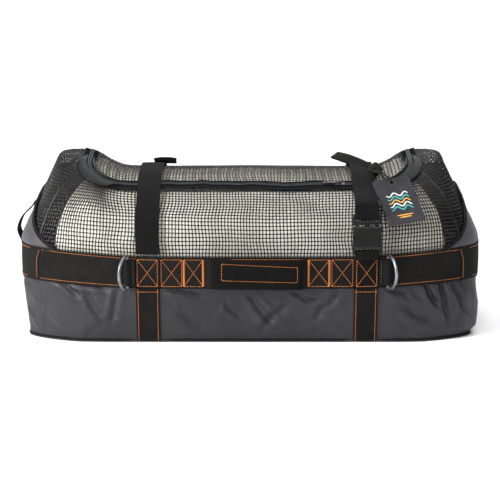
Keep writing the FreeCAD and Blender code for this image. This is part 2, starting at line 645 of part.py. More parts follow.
# ---- luggage tag and its loop -------------------------------------------------------
TAG_W, TAG_H, TAG_T = 63.0, 88.0, 2.6
TAG_CORNER = V(197.0, -134.5, 257.4)      # upper corner next to the strap
TAG_X = V(61.4, 18.2, 7.7).normalize()    # along the upper edge
TAG_DOWN = V(27.4, -57.2, -61.6)
TAG_DOWN = (TAG_DOWN - TAG_X * TAG_DOWN.dot(TAG_X)).normalize()
TAG_N = TAG_DOWN.cross(TAG_X).normalize() * -1.0
if TAG_N.y > 0:
    TAG_N = TAG_N * -1.0
TAG_CORNER = TAG_CORNER + TAG_N * TAG_LIFT - TAG_DOWN * 5.0


def tag_pt(u, v, w):
    """u along the upper edge, v down the tag, w outwards from its back face."""
    return TAG_CORNER + TAG_X * u + TAG_DOWN * v + TAG_N * w


TAG_HOLE = (TAG_W / 2.0, 9.0)
rr = 5.0
outline = []
for cu, cv, t0 in ((rr, rr, 180), (TAG_W - rr, rr, 270), (TAG_W - rr, TAG_H - rr, 0), (rr, TAG_H - rr, 90)):
    for k in range(4):
        t = math.radians(t0 + 30 * k)
        outline.append(tag_pt(cu + rr * math.cos(t), cv + rr * math.sin(t), 0.0))
outline.append(outline[0])
tag = Part.Face(Part.makePolygon(outline)).extrude(TAG_N * TAG_T)
tag = tag.cut(Part.makeCylinder(3.6, 20, tag_pt(TAG_HOLE[0], TAG_HOLE[1], -8.0), TAG_N))
add("luggage_tag", tag)

# flat cord loop from the right strap through the hole of the tag
r_c = 1.2
hu, hv = TAG_HOLE
sx = STRAP_R[1] - 4.0
loop_pts = [V(sx, -70.0, top_z(sx, -70.0) + 4.3 + WEB / 2 + r_c + 0.7), tag_pt(hu - 14.0, -14.0, TAG_T + 5.0), tag_pt(hu - 4.0, 0.0, TAG_T + r_c + 1.0), tag_pt(hu, hv - 0.5, TAG_T + r_c + 0.2),
            tag_pt(hu, hv, -r_c - 0.2), tag_pt(hu - 3.0, 0.0, -r_c - 0.8), tag_pt(hu - 12.0, -16.0, 0.5)]
loop = None
for k, p in enumerate(loop_pts):
    q = loop_pts[(k + 1) % len(loop_pts)]
    piece = Part.makeCylinder(r_c, (q - p).Length, p, q - p).fuse(Part.makeSphere(r_c, p))
    loop = piece if loop is None else loop.fuse(piece)
add("tag_loop", loop)

for name in list(NODES):
    if NODES[name] is None:
        del NODES[name]
for name, shape in NODES.items():
    shape.exportStep("parts/%s.step" % name)
print(len(NODES), "nodes")
print("bars", [(n, round(p[0], 1), round(sg * (edge_y(abs(p[0]) - 4.0, 130.0) + 0.3 + WEB + 4.9 + 0.9), 2), round(lift(p[0], 117.0), 1)) for n, p in D_POS.items() for sg in (p[1],)])
print("tag axis", TAG_N, "hole", tag_pt(TAG_HOLE[0], TAG_HOLE[1], 0))
print("slider", SL_X, -ZIP_HALF_DEP, zs, tilt)
for n in ("mesh_front_panel", "end_mesh_right", "compression_strap_right", "zip_slider", "zip_chain_body", "lid_mesh"):
    print("tag gap to", n, round(NODES["luggage_tag"].distToShape(NODES[n])[0], 2))
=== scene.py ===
import math
import numpy as np
import bpy
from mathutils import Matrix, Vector


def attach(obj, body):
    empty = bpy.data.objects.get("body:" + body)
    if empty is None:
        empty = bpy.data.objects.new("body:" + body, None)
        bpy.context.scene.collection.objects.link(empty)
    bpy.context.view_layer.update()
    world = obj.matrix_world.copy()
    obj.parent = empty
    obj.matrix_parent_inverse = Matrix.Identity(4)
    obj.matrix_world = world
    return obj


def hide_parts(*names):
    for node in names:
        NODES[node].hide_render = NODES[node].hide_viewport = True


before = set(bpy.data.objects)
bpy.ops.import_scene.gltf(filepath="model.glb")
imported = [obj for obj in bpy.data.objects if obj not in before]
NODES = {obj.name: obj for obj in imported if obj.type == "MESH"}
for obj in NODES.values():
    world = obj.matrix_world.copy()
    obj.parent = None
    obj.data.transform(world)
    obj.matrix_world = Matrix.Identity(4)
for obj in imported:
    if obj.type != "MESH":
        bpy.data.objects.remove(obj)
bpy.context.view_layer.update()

# =====================================================================================
# Shape of the filled bag, in millimetres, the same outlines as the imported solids
# =====================================================================================
LEVELS = np.array([(0.0, 362.0, 158.0, 8.5), (50.0, 370.0, 166.0, 6.0), (117.0, 379.0, 172.0, 3.9), (142.0, 380.0, 172.0, 3.4),
                   (167.0, 371.0, 171.0, 3.4), (186.0, 358.5, 169.0, 3.4), (200.0, 350.0, 163.0, 3.4), (213.0, 342.5, 150.0, 3.5),
                   (230.0, 333.0, 125.0, 3.7), (245.0, 325.0, 95.0, 4.0), (257.0, 318.0, 58.0, 4.0), (264.0, 290.0, 3.0, 3.0)])
TOPZ = 264.0
BAND_LOW, BAND_MID, BAND_HIGH = 91.0, 118.0, 142.0
STRAP_L, STRAP_R = (-182.0, -144.0), (166.0, 204.0)
ZL, ZD, ZRF, ZRB = 264.0, 91.0, 30.0, 60.0
PHI_R = [-47.0, -38.0, -28.0, -14.0, 0.0, 13.0, 29.0, 44.0]
WEB = 1.8
LEAN = math.radians(5.5)
BAR_Y, BAR_Z = -181.5, 150.5
HANDLE_X, GRIP_X = (-72.0, 91.0), (-62.0, 84.0)


def pchip(xk, yk):
    xk, yk = np.asarray(xk, float), np.asarray(yk, float)
    h = np.diff(xk)
    d = np.diff(yk) / h
    m = np.zeros_like(yk)
    for k in range(1, len(xk) - 1):
        if d[k - 1] * d[k] > 0:
            w1, w2 = 2 * h[k] + h[k - 1], h[k] + 2 * h[k - 1]
            m[k] = (w1 + w2) / (w1 / d[k - 1] + w2 / d[k])
    m[0], m[-1] = d[0], d[-1]

    def f(t):
        t = np.clip(np.asarray(t, float), xk[0], xk[-1])
        i = np.clip(np.searchsorted(xk, t, side="right") - 1, 0, len(xk) - 2)
        u = (t - xk[i]) / h[i]
        u2, u3 = u * u, u * u * u
        return (2 * u3 - 3 * u2 + 1) * yk[i] + (u3 - 2 * u2 + u) * h[i] * m[i] + (3 * u2 - 2 * u3) * yk[i + 1] + (u3 - u2) * h[i] * m[i + 1]
    return f


LA, LB, LN = (pchip(LEVELS[:, 0], LEVELS[:, k]) for k in (1, 2, 3))


def inside(x, y, z):
    n = LN(z)
    return (np.abs(x) / LA(z)) ** n + (np.abs(y) / LB(z)) ** n


def sstep(t):
    t = np.clip(t, 0, 1)
    return t * t * (3 - 2 * t)


def lift(x, z):
    s = sstep((np.abs(x) - 205.0) / 75.0)
    u = sstep((np.abs(x) - 150.0) / 200.0)
    return z + 7.0 * u * np.minimum(1.0, z / 142.0) + np.maximum(z - 142.0, 0) * 0.21 * s


def height0(x, y):
    x, y = np.broadcast_arrays(np.asarray(x, float), np.asarray(y, float))
    lo, hi = np.full(x.shape, 142.0), np.full(x.shape, TOPZ)
    top = inside(x, y, hi) <= 1.0
    for _ in range(30):
        m = 0.5 * (lo + hi)
        out = inside(x, y, m) > 1.0
        hi = np.where(out, m, hi)
        lo = np.where(out, lo, m)
    return np.where(top, TOPZ, lo)


def edge_y(x, z):
    n = LN(z)
    return LB(z) * np.maximum(0.0, 1.0 - (np.abs(x) / LA(z)) ** n) ** (1.0 / n)


def hash2(i, j, seed):
    h = (i.astype(np.int64) * 374761393 + j.astype(np.int64) * 668265263 + seed * 974634777) & 0x7FFFFFFF
    h = ((h ^ (h >> 13)) * 1274126177) & 0x7FFFFFFF
    h = h ^ (h >> 16)
    return (h & 0xFFFFF) / float(0xFFFFF) * 2 - 1


def vnoise(x, y, seed=0):
    x, y = np.broadcast_arrays(np.asarray(x, float), np.asarray(y, float))
    i, j = np.floor(x), np.floor(y)
    u, v = x - i, y - j
    u, v = u * u * u * (u * (6 * u - 15) + 10), v * v * v * (v * (6 * v - 15) + 10)
    a, b, c, d = hash2(i, j, seed), hash2(i + 1, j, seed), hash2(i, j + 1, seed), hash2(i + 1, j + 1, seed)
    return (a * (1 - u) + b * u) * (1 - v) + (c * (1 - u) + d * u) * v


def fbm(x, y, seed=0, octaves=3):
    out, amp = 0.0, 1.0
    for k in range(octaves):
        out = out + amp * vnoise(x * 2 ** k, y * 2 ** k, seed + 17 * k)
        amp *= 0.5
    return out


# ---- closed outline at the widest level, measured by arc length s from the front middle
_phi = np.radians(np.linspace(-90, 270, 14401))


def base_pt(phi):
    a, b, n = 380.0, 172.0, 3.4
    c, s = np.cos(phi), np.sin(phi)
    r = (np.abs(c) ** n + np.abs(s) ** n) ** (-1.0 / n)
    return a * r * c, b * r * s


_bx, _by = base_pt(_phi)
_bs = np.concatenate([[0], np.cumsum(np.hypot(np.diff(_bx), np.diff(_by)))])
LTOT = _bs[-1]


def s_of_phi(deg):
    return float(np.interp(math.radians(deg), _phi, _bs))


def sx(x, back=False):
    """Arc coordinate of the front (or back) point at x."""
    k = len(_phi) // 4
    if not back:
        if x < 0:
            return LTOT - sx(-x)
        return float(np.interp(x, _bx[:k], _bs[:k]))
    a, b = len(_phi) // 4, 3 * (len(_phi) // 4)
    return float(np.interp(-x, -_bx[a:b], _bs[a:b]))


def rim_path(d, n=24):
    """Dense right half of the rounded zip outline moved inwards by d, front to back."""
    L, D, rf, rb = ZL - d, ZD - d, ZRF - d, ZRB - d
    t = np.radians(np.linspace(0, 90, n))
    f = np.stack([L - rf + rf * np.sin(t), -D + rf - rf * np.cos(t)], 1)
    m = np.stack([np.full(14, L), np.linspace(-D + rf, D - rb, 16)[1:-1]], 1)
    b = np.stack([L - rb + rb * np.cos(t), D - rb + rb * np.sin(t)], 1)
    return np.concatenate([f, m, b])


_rp = rim_path(-9.2, 60)
_rs = np.concatenate([[0], np.cumsum(np.hypot(*np.diff(_rp, axis=0).T))])
_arc_f, _arc_b = 39.2 * math.pi / 2, 69.2 * math.pi / 2
_mid = _rs[-1] - _arc_f - _arc_b
RIMKEYS = [0, _arc_f / 3, _arc_f * 2 / 3, _arc_f, _arc_f + _mid / 3, _arc_f + _mid * 2 / 3, _arc_f + _mid, _arc_f + _mid + _arc_b / 3, _arc_f + _mid + _arc_b * 2 / 3, _rs[-1]]
S234, S204B = sx(234.0), sx(204.0, True)
SKEYS = [S234] + [s_of_phi(p) for p in PHI_R] + [S204B]
_rim_of_s = pchip(SKEYS, RIMKEYS)


def col_q(s):
    """Plan point on the rim for arc coordinate s."""
    s = np.mod(np.asarray(s, float), LTOT)
    left = s > LTOT / 2
    t = np.where(left, LTOT - s, s)
    bx = np.interp(t, _bs, _bx)
    r = _rim_of_s(t)
    ex, ey = np.interp(r, _rs, _rp[:, 0]), np.interp(r, _rs, _rp[:, 1])
    qx = np.where(t < S234, bx, np.where(t > S204B, bx, ex))
    qy = np.where(t < S234, -100.2, np.where(t > S204B, 100.2, ey))
    return np.where(left, -qx, qx), qy


def col_b(s):
    s = np.mod(np.asarray(s, float), LTOT)
    return np.interp(s, _bs, _bx), np.interp(s, _bs, _by)


def solve(qx, qy, bx, by, z):
    lo = np.zeros(np.broadcast(qx, z).shape)
    hi = lo + 1.06
    for _ in range(26):
        m = 0.5 * (lo + hi)
        out = inside(qx + m * (bx - qx), qy + m * (by - qy), z) > 1.0
        hi = np.where(out, m, hi)
        lo = np.where(out, lo, m)
    x, y = qx + lo * (bx - qx), qy + lo * (by - qy)
    return np.stack([x, y, lift(x, z)], -1)


NCOL, MUP, MLO = 1008, 100, 72
_s = np.arange(NCOL) * LTOT / NCOL
_qx, _qy = col_q(_s)
_b0, _b1 = col_b(_s)
ZQ = height0(_qx, _qy)
VUP = np.linspace(0, 1, MUP)
PUP = solve(_qx[:, None], _qy[:, None], _b0[:, None], _b1[:, None], 142.0 + VUP[None] * (ZQ[:, None] - 142.0))
PLO = solve(_qx[:, None], _qy[:, None], _b0[:, None], _b1[:, None], np.linspace(0, 142, MLO)[None] + 0 * _qx[:, None])


def grid_normals(P, ring=True):
    du = np.roll(P, -1, 0) - np.roll(P, 1, 0) if ring else np.gradient(P, axis=0)
    dv = np.gradient(P, axis=1)
    n = np.cross(du, dv)
    return n / np.maximum(np.linalg.norm(n, axis=-1, keepdims=True), 1e-9)


def blur_ring(T, k=3):
    for _ in range(k):
        T = 0.25 * np.roll(T, 1, 0) + 0.5 * T + 0.25 * np.roll(T, -1, 0)
    return T


PUP = blur_ring(PUP, 4)
PLO = blur_ring(PLO, 4)
NUP, NLO = grid_normals(PUP), grid_normals(PLO)
ARC = np.concatenate([np.zeros((NCOL, 1)), np.cumsum(np.linalg.norm(np.diff(PUP, axis=1), axis=-1), 1)], 1)
ARCG = np.arange(0, 320.0, 0.8)
VARC = np.stack([np.interp(ARCG, ARC[i], VUP, right=1.0) for i in range(NCOL)])
ATOT = ARC[:, -1]


def samp(T, s, f):
    """Bilinear sample of a table; s is the arc coordinate, f the row fraction 0..1."""
    s, f = np.broadcast_arrays(np.asarray(s, float), np.asarray(f, float))
    n, m = T.shape[:2]
    u = np.mod(s, LTOT) / LTOT * n
    i0 = np.floor(u).astype(int) % n
    fu = u - np.floor(u)
    w = np.clip(f, 0, 1) * (m - 1)
    j0 = np.minimum(np.floor(w).astype(int), m - 2)
    fw = w - j0
    i1 = (i0 + 1) % n
    if T.ndim == 3:
        fu, fw = fu[..., None], fw[..., None]
    return (T[i0, j0] * (1 - fu) + T[i1, j0] * fu) * (1 - fw) + (T[i0, j0 + 1] * (1 - fu) + T[i1, j0 + 1] * fu) * fw


def zq_of(s):
    return np.interp(np.mod(s, LTOT), np.append(_s, LTOT), np.append(ZQ, ZQ[0]))


def atot_of(s):
    return np.interp(np.mod(s, LTOT), np.append(_s, LTOT), np.append(ATOT, ATOT[0]))


def wall(s, z):
    """Point and outward normal of the bag wall at arc coordinate s and nominal height z."""
    s, z = np.broadcast_arrays(np.asarray(s, float), np.asarray(z, float))
    v = (z - 142.0) / (zq_of(s) - 142.0)
    up = z > 142.0
    P = np.where(up[..., None], samp(PUP, s, v), samp(PLO, s, z / 142.0))
    w = sstep((z - 136.0) / 12.0)[..., None]
    N = samp(NLO, s, np.minimum(z, 142) / 142.0) * (1 - w) + samp(NUP, s, np.maximum(v, 0)) * w
    N = N / np.linalg.norm(N, axis=-1, keepdims=True)
    return P, N


def v_of_arc(s, arc):
    return samp(VARC, s, np.asarray(arc, float) / (ARCG[-1]))


def puff(s, z):
    """Slow unevenness of the soft upper walls, in millimetres."""
    return 1.9 * vnoise(s / 95.0, z / 62.0, 5) + 0.9 * vnoise(s / 38.0, z / 44.0, 9)


# ---- height field of the lid --------------------------------------------------------
HGX, HGY = np.arange(-312, 312.1, 2.0), np.arange(-124, 124.1, 2.0)
_gx, _gy = np.meshgrid(HGX, HGY, indexing="ij")
HG = lift(_gx, height0(_gx, _gy))
for _ in range(10):
    p = np.pad(HG, 1, mode="edge")
    HG = 0.25 * (p[:-2, 1:-1] + p[2:, 1:-1] + p[1:-1, :-2] + p[1:-1, 2:])
HG = HG + 0.9 * vnoise(_gx / 70.0, _gy / 40.0, 31) * sstep((100 - np.abs(_gy)) / 40.0) * sstep((270 - np.abs(_gx)) / 40.0)
HNX, HNY = np.gradient(HG, 2.0, axis=0), np.gradient(HG, 2.0, axis=1)


def hsamp(T, x, y):
    u = np.clip((np.asarray(x, float) - HGX[0]) / 2.0, 0, len(HGX) - 1.001)
    v = np.clip((np.asarray(y, float) - HGY[0]) / 2.0, 0, len(HGY) - 1.001)
    i, j = u.astype(int), v.astype(int)
    a, b = u - i, v - j
    return (T[i, j] * (1 - a) + T[i + 1, j] * a) * (1 - b) + (T[i, j + 1] * (1 - a) + T[i + 1, j + 1] * a) * b


def top(x, y):
    x, y = np.broadcast_arrays(np.asarray(x, float), np.asarray(y, float))
    P = np.stack([x, y, hsamp(HG, x, y)], -1)
    N = np.stack([-hsamp(HNX, x, y), -hsamp(HNY, x, y), np.ones(x.shape)], -1)
    return P, N / np.linalg.norm(N, axis=-1, keepdims=True)


def rim_inside(x, y, d):
    L, D, rf, rb = ZL - d, ZD - d, ZRF - d, ZRB - d
    ax = np.abs(x)
    ok = (ax <= L) & (np.abs(y) <= D)
    cf = (ax > L - rf) & (y < -D + rf)
    cb = (ax > L - rb) & (y > D - rb)
    ok &= ~(cf & (np.hypot(ax - L + rf, y + D - rf) > rf))
    ok &= ~(cb & (np.hypot(ax - L + rb, y - D + rb) > rb))
    return ok


# =====================================================================================
# Mesh helpers
# =====================================================================================
def make(name, verts, faces, mat, body, uv=None, wrap=None, slot=None, rep=(), sharp=48.0, scale=0.001):
    V = np.asarray(verts, float).reshape(-1, 3) * scale
    faces = [np.asarray(f, np.int64) for f in faces if len(f)]
    loops = np.concatenate([f.ravel() for f in faces])
    sizes = np.concatenate([np.full(len(f), f.shape[1]) for f in faces])
    starts = np.concatenate([[0], np.cumsum(sizes)[:-1]])
    me = bpy.data.meshes.new(name)
    me.vertices.add(len(V))
    me.vertices.foreach_set("co", V.ravel())
    me.loops.add(len(loops))
    me.loops.foreach_set("vertex_index", loops.astype(np.int32))
    me.polygons.add(len(sizes))
    me.polygons.foreach_set("loop_start", starts.astype(np.int32))
    me.update(calc_edges=True)
    if uv is not None:
        U = np.asarray(uv, float).reshape(-1, 2)[loops] * 0.001
        if wrap:
            fid = np.repeat(np.arange(len(sizes)), sizes)
            hi = np.zeros(len(sizes))
            np.maximum.at(hi, fid, U[:, 0])
            far = hi[fid] - U[:, 0] > wrap * 0.0005
            U[far, 0] += wrap * 0.001
        me.uv_layers.new(name="UVMap").data.foreach_set("uv", U.ravel())
    me.validate()
    me.polygons.foreach_set("use_smooth", np.ones(len(me.polygons), bool))
    if sharp:
        me.set_sharp_from_angle(angle=math.radians(sharp))
    me.materials.append(mat)
    ob = bpy.data.objects.new(name, me)
    bpy.context.scene.collection.objects.link(ob)
    if body:
        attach(ob, body)
    if rep:
        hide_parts(*rep)
    return ob


class Bag:
    """Collects verts, faces and uvs of many small parts of one piece."""

    def __init__(self):
        self.v, self.f, self.u, self.n = [], {}, [], 0

    def add(self, V, faces, uv=None):
        V = np.asarray(V, float).reshape(-1, 3)
        for f in faces:
            f = np.asarray(f, np.int64)
            if len(f):
                self.f.setdefault(f.shape[1], []).append(f + self.n)
        self.v.append(V)
        self.u.append(np.zeros((len(V), 2)) if uv is None else np.asarray(uv, float).reshape(-1, 2))
        self.n += len(V)

    def make(self, name, mat, body, **kw):
        return make(name, np.concatenate(self.v), [np.concatenate(g) for g in self.f.values()], mat, body, uv=np.concatenate(self.u), **kw)


def thick(P, N, t_out, t_in, uv, ring=False, round_k=True, round_m=True):
    """Closed sheet over grid P[m,k]; t_out and t_in are offsets along N. Returns verts, faces, uv."""
    m, k = P.shape[:2]
    mid, half = (t_out + t_in) / 2.0, (t_out - t_in) / 2.0
    fac = np.ones((m, k))
    if round_k:
        fac[:, 0] *= 0.4
        fac[:, -1] *= 0.4
    if round_m and not ring:
        fac[0] *= 0.4
        fac[-1] *= 0.4
    mid = np.broadcast_to(mid, (m, k))[..., None]
    half = (np.broadcast_to(half, (m, k)) * fac)[..., None]
    O, I = P + N * (mid + half), P + N * (mid - half)
    V = np.concatenate([O.reshape(-1, 3), I.reshape(-1, 3)])
    idx = np.arange(m * k).reshape(m, k)
    nxt = np.roll(idx, -1, 0) if ring else idx[1:]
    cur = idx if ring else idx[:-1]
    q = np.stack([cur[:, :-1], nxt[:, :-1], nxt[:, 1:], cur[:, 1:]], -1).reshape(-1, 4)
    o = m * k
    F = [q, q[:, ::-1] + o]
    F.append(np.stack([cur[:, 0], cur[:, 0] + o, nxt[:, 0] + o, nxt[:, 0]], -1))
    F.append(np.stack([cur[:, -1], nxt[:, -1], nxt[:, -1] + o, cur[:, -1] + o], -1))
    if not ring:
        F.append(np.stack([idx[0, :-1], idx[0, 1:], idx[0, 1:] + o, idx[0, :-1] + o], -1))
        F.append(np.stack([idx[-1, 1:], idx[-1, :-1], idx[-1, :-1] + o, idx[-1, 1:] + o], -1))
    U = np.concatenate([uv.reshape(-1, 2), uv.reshape(-1, 2)])
    return V, F, U


def edged(a, b, n, e=0.5):
    """n+1 stations from a to b with an extra station close to each end for a rounded edge."""
    t = np.linspace(a, b, n + 1)
    s = 1.0 if b > a else -1.0
    return np.concatenate([[a, a + s * e * 0.4, a + s * e * 1.4], t[1:-1], [b - s * e * 1.4, b - s * e * 0.4, b]])


def tube(P, N, hw, ht, sides=6, closed=False):
    """Tube of elliptic section along P with up vectors N; hw, ht are half width and half thickness."""
    P, N = np.asarray(P, float), np.asarray(N, float)
    k = len(P)
    T = (np.roll(P, -1, 0) - np.roll(P, 1, 0)) if closed else np.gradient(P, axis=0)
    T /= np.maximum(np.linalg.norm(T, axis=1, keepdims=True), 1e-9)
    S = np.cross(T, N)
    S /= np.maximum(np.linalg.norm(S, axis=1, keepdims=True), 1e-9)
    U = np.cross(S, T)
    a = np.arange(sides) * 2 * np.pi / sides + np.pi / sides
    hw, ht = np.broadcast_to(hw, (k,)), np.broadcast_to(ht, (k,))
    V = P[:, None] + S[:, None] * (hw[:, None, None] * np.cos(a)[None, :, None]) + U[:, None] * (ht[:, None, None] * np.sin(a)[None, :, None])
    idx = np.arange(k * sides).reshape(k, sides)
    cur, nxt = (idx, np.roll(idx, -1, 0)) if closed else (idx[:-1], idx[1:])
    q = np.stack([cur, np.roll(cur, -1, 1), np.roll(nxt, -1, 1), nxt], -1).reshape(-1, 4)[:, ::-1]
    F = [q]
    if not closed:
        F += [idx[0:1], idx[-1:, ::-1]]
    d = np.concatenate([[0], np.cumsum(np.linalg.norm(np.diff(P, axis=0), axis=1))])
    uv = np.stack([np.broadcast_to(a * float(np.mean(hw)), (k, sides)), np.broadcast_to(d[:, None], (k, sides))], -1)
    return V.reshape(-1, 3), F, uv.reshape(-1, 2)


def smooth_path(pts, step=2.5):
    """Centripetal-like smooth curve through points, resampled at equal steps."""
    p = np.asarray(pts, float)
    d = np.concatenate([[0], np.cumsum(np.maximum(np.linalg.norm(np.diff(p, axis=0), axis=1), 1e-6))])
    n = max(int(d[-1] / step), 4)
    t = np.linspace(0, d[-1], n * 4)
    q = np.stack([pchip(d, p[:, c])(t) for c in range(p.shape[1])], 1)
    for _ in range(10):
        q[1:-1] = 0.25 * q[:-2] + 0.5 * q[1:-1] + 0.25 * q[2:]
    d = np.concatenate([[0], np.cumsum(np.linalg.norm(np.diff(q, axis=0), axis=1))])
    t = np.linspace(0, d[-1], n + 1)
    return np.stack([np.interp(t, d, q[:, c]) for c in range(p.shape[1])], 1)


def resample(P, N, step):
    d = np.concatenate([[0], np.cumsum(np.linalg.norm(np.diff(P, axis=0), axis=1))])
    n = max(int(round(d[-1] / step)), 1)
    t = (np.arange(n) + 0.5) * d[-1] / n
    Q = np.stack([np.interp(t, d, P[:, c]) for c in range(3)], 1)
    M = np.stack([np.interp(t, d, N[:, c]) for c in range(3)], 1)
    Tn = np.stack([np.interp(t + 0.4, d, P[:, c]) - np.interp(t - 0.4, d, P[:, c]) for c in range(3)], 1)
    Tn /= np.maximum(np.linalg.norm(Tn, axis=1, keepdims=True), 1e-9)
    return Q, M / np.maximum(np.linalg.norm(M, axis=1, keepdims=True), 1e-9), Tn


def stitches(bag, P, N, pitch=4.2, length=3.1, r=0.46, lifted=0.12):
    """Row of thread stitches along a path: each one a small rounded hump sunk at both ends."""
    Q, M, T = resample(np.asarray(P, float), np.asarray(N, float), pitch)
    S = np.cross(T, M)
    S /= np.maximum(np.linalg.norm(S, axis=1, keepdims=True), 1e-9)
    k = len(Q)
    along = np.array([-0.5, -0.34, 0.0, 0.34, 0.5]) * length
    rad = np.array([0.35, 0.85, 1.0, 0.85, 0.35]) * r
    rise = np.array([-0.45, 0.0, 0.25, 0.0, -0.45]) * r + lifted
    a = np.arange(6) * np.pi / 3
    V = (Q[:, None, None] + T[:, None, None] * along[None, :, None, None]
         + M[:, None, None] * (rise[:, None] + rad[:, None] * 0.8 * np.sin(a)[None])[None, :, :, None]
         + S[:, None, None] * (rad[:, None] * np.cos(a)[None])[None, :, :, None])
    base = (np.arange(k) * 30)[:, None]
    idx = np.arange(30).reshape(5, 6)
    q = np.stack([idx[:-1], idx[1:], np.roll(idx[1:], -1, 1), np.roll(idx[:-1], -1, 1)], -1).reshape(-1, 4)
    F4 = (q[None] + base[:, :, None]).reshape(-1, 4)
    caps = np.concatenate([(idx[0][None, None] + base[:, :, None]).reshape(-1, 6), (idx[-1][::-1][None, None] + base[:, :, None]).reshape(-1, 6)])
    bag.add(V.reshape(-1, 3), [F4, caps])


def bartack(bag, P, N, width=3.6, pitch=1.1, r=0.5):
    """Dense zigzag bar across a line."""
    Q, M, T = resample(np.asarray(P, float), np.asarray(N, float), pitch)
    S = np.cross(T, M)
    for k in range(len(Q)):
        tilt = 0.25 if k % 2 else -0.25
        a = Q[k] - S[k] * width / 2 + T[k] * tilt
        b = Q[k] + S[k] * width / 2 - T[k] * tilt
        stitches(bag, np.array([a, (a + b) / 2, b]), np.array([M[k]] * 3), pitch=width, length=width, r=r, lifted=0.3)


# =====================================================================================
# Materials, all procedural
# =====================================================================================
class NT:
    def __init__(self, name):
        self.m = bpy.data.materials.new(name)
        self.m.use_nodes = True
        self.t = self.m.node_tree
        self.b = self.t.nodes["Principled BSDF"]

    def node(self, kind, **kw):
        n = self.t.nodes.new(kind)
        for k, v in kw.items():
            setattr(n, k, v)
        return n

    def set(self, n, **kw):
        for k, v in kw.items():
            key = k.replace("_", " ")
            s = n.inputs[int(k[1:])] if k[0] == "i" and k[1:].isdigit() else n.inputs[key]
            if isinstance(v, bpy.types.NodeSocket):
                self.t.links.new(v, s)
            else:
                s.default_value = v
        return n

    def math(self, op, a, b=0.0, clamp=False):
        n = self.node("ShaderNodeMath", operation=op, use_clamp=clamp)
        self.set(n, i0=a, i1=b)
        return n.outputs[0]

    def noise(self, vec, scale, detail=3.0, rough=0.55, dist=0.0):
        n = self.node("ShaderNodeTexNoise")
        self.set(n, Vector=vec, Scale=scale, Detail=detail, Roughness=rough, Distortion=dist)
        return n.outputs["Fac"]

    def ramp(self, fac, stops):
        n = self.node("ShaderNodeValToRGB")
        self.t.links.new(fac, n.inputs[0])
        e = n.color_ramp.elements
        while len(e) < len(stops):
            e.new(0.5)
        for k, (p, c) in enumerate(stops):
            e[k].position = p
            e[k].color = tuple(c) + (1.0,)
        return n.outputs[0]

    def mix(self, fac, a, b):
        n = self.node("ShaderNodeMix", data_type="RGBA")
        for s, v in ((n.inputs[0], fac), (n.inputs[6], a), (n.inputs[7], b)):
            if isinstance(v, bpy.types.NodeSocket):
                self.t.links.new(v, s)
            else:
                s.default_value = v if not isinstance(v, tuple) or len(v) == 4 else v + (1.0,)
        return n.outputs[2]

    def uv(self):
        n = self.node("ShaderNodeUVMap")
        n.uv_map = "UVMap"
        s = self.node("ShaderNodeSeparateXYZ")
        self.t.links.new(n.outputs[0], s.inputs[0])
        return s.outputs[0], s.outputs[1]

    def obj(self):
        return self.node("ShaderNodeTexCoord").outputs["Object"]

    def bump(self, height, dist, strength=1.0, prev=None):
        n = self.node("ShaderNodeBump")
        self.set(n, Height=height, Distance=dist, Strength=strength)
        if prev is not None:
            self.t.links.new(prev, n.inputs["Normal"])
        return n.outputs[0]

    def done(self, color=None, rough=None, normal=None, **fixed):
        if color is not None:
            self.t.links.new(color, self.b.inputs["Base Color"]) if isinstance(color, bpy.types.NodeSocket) else None
        if isinstance(rough, bpy.types.NodeSocket):
            self.t.links.new(rough, self.b.inputs["Roughness"])
        elif rough is not None:
            self.b.inputs["Roughness"].default_value = rough
        if normal is not None:
            self.t.links.new(normal, self.b.inputs["Normal"])
        for k, v in fixed.items():
            self.b.inputs[k.replace("_", " ")].default_value = v
        return self.m


def sinwave(n, x, period, phase=None):
    a = n.math("MULTIPLY", x, 2 * math.pi / period)
    if phase is not None:
        a = n.math("ADD", a, phase)
    return n.math("SINE", a)


def webbing(name, dark, light, period=0.0021, rough=0.72):
    """Ribbed nylon webbing: fine herringbone along the tape, fuzz and slow fading."""
    n = NT(name)
    u, v = n.uv()
    o = n.obj()
    zig = n.math("PINGPONG", u, 0.0032)
    ph = n.math("MULTIPLY", zig, 2 * math.pi / 0.0040)
    rib = sinwave(n, v, period, ph)
    warp = sinwave(n, u, 0.00135)
    h = n.math("ADD", n.math("MULTIPLY", rib, 0.6), n.math("MULTIPLY", warp, 0.4))
    fuzz = n.noise(o, 1400.0, 2.0)
    slow = n.noise(o, 38.0, 3.0)
    t = n.math("ADD", n.math("MULTIPLY", h, 0.16), n.math("ADD", n.math("MULTIPLY", fuzz, 0.35), n.math("MULTIPLY", slow, 0.45)))
    col = n.ramp(t, [(0.18, dark), (0.62, light)])
    nb = n.bump(h, 0.00030, 0.8)
    nb = n.bump(fuzz, 0.00015, 0.5, nb)
    r = n.math("ADD", n.math("MULTIPLY", slow, 0.16), rough - 0.08)
    return n.done(col, r, nb, Sheen_Weight=0.02, Sheen_Roughness=0.45, Specular_IOR_Level=0.10)


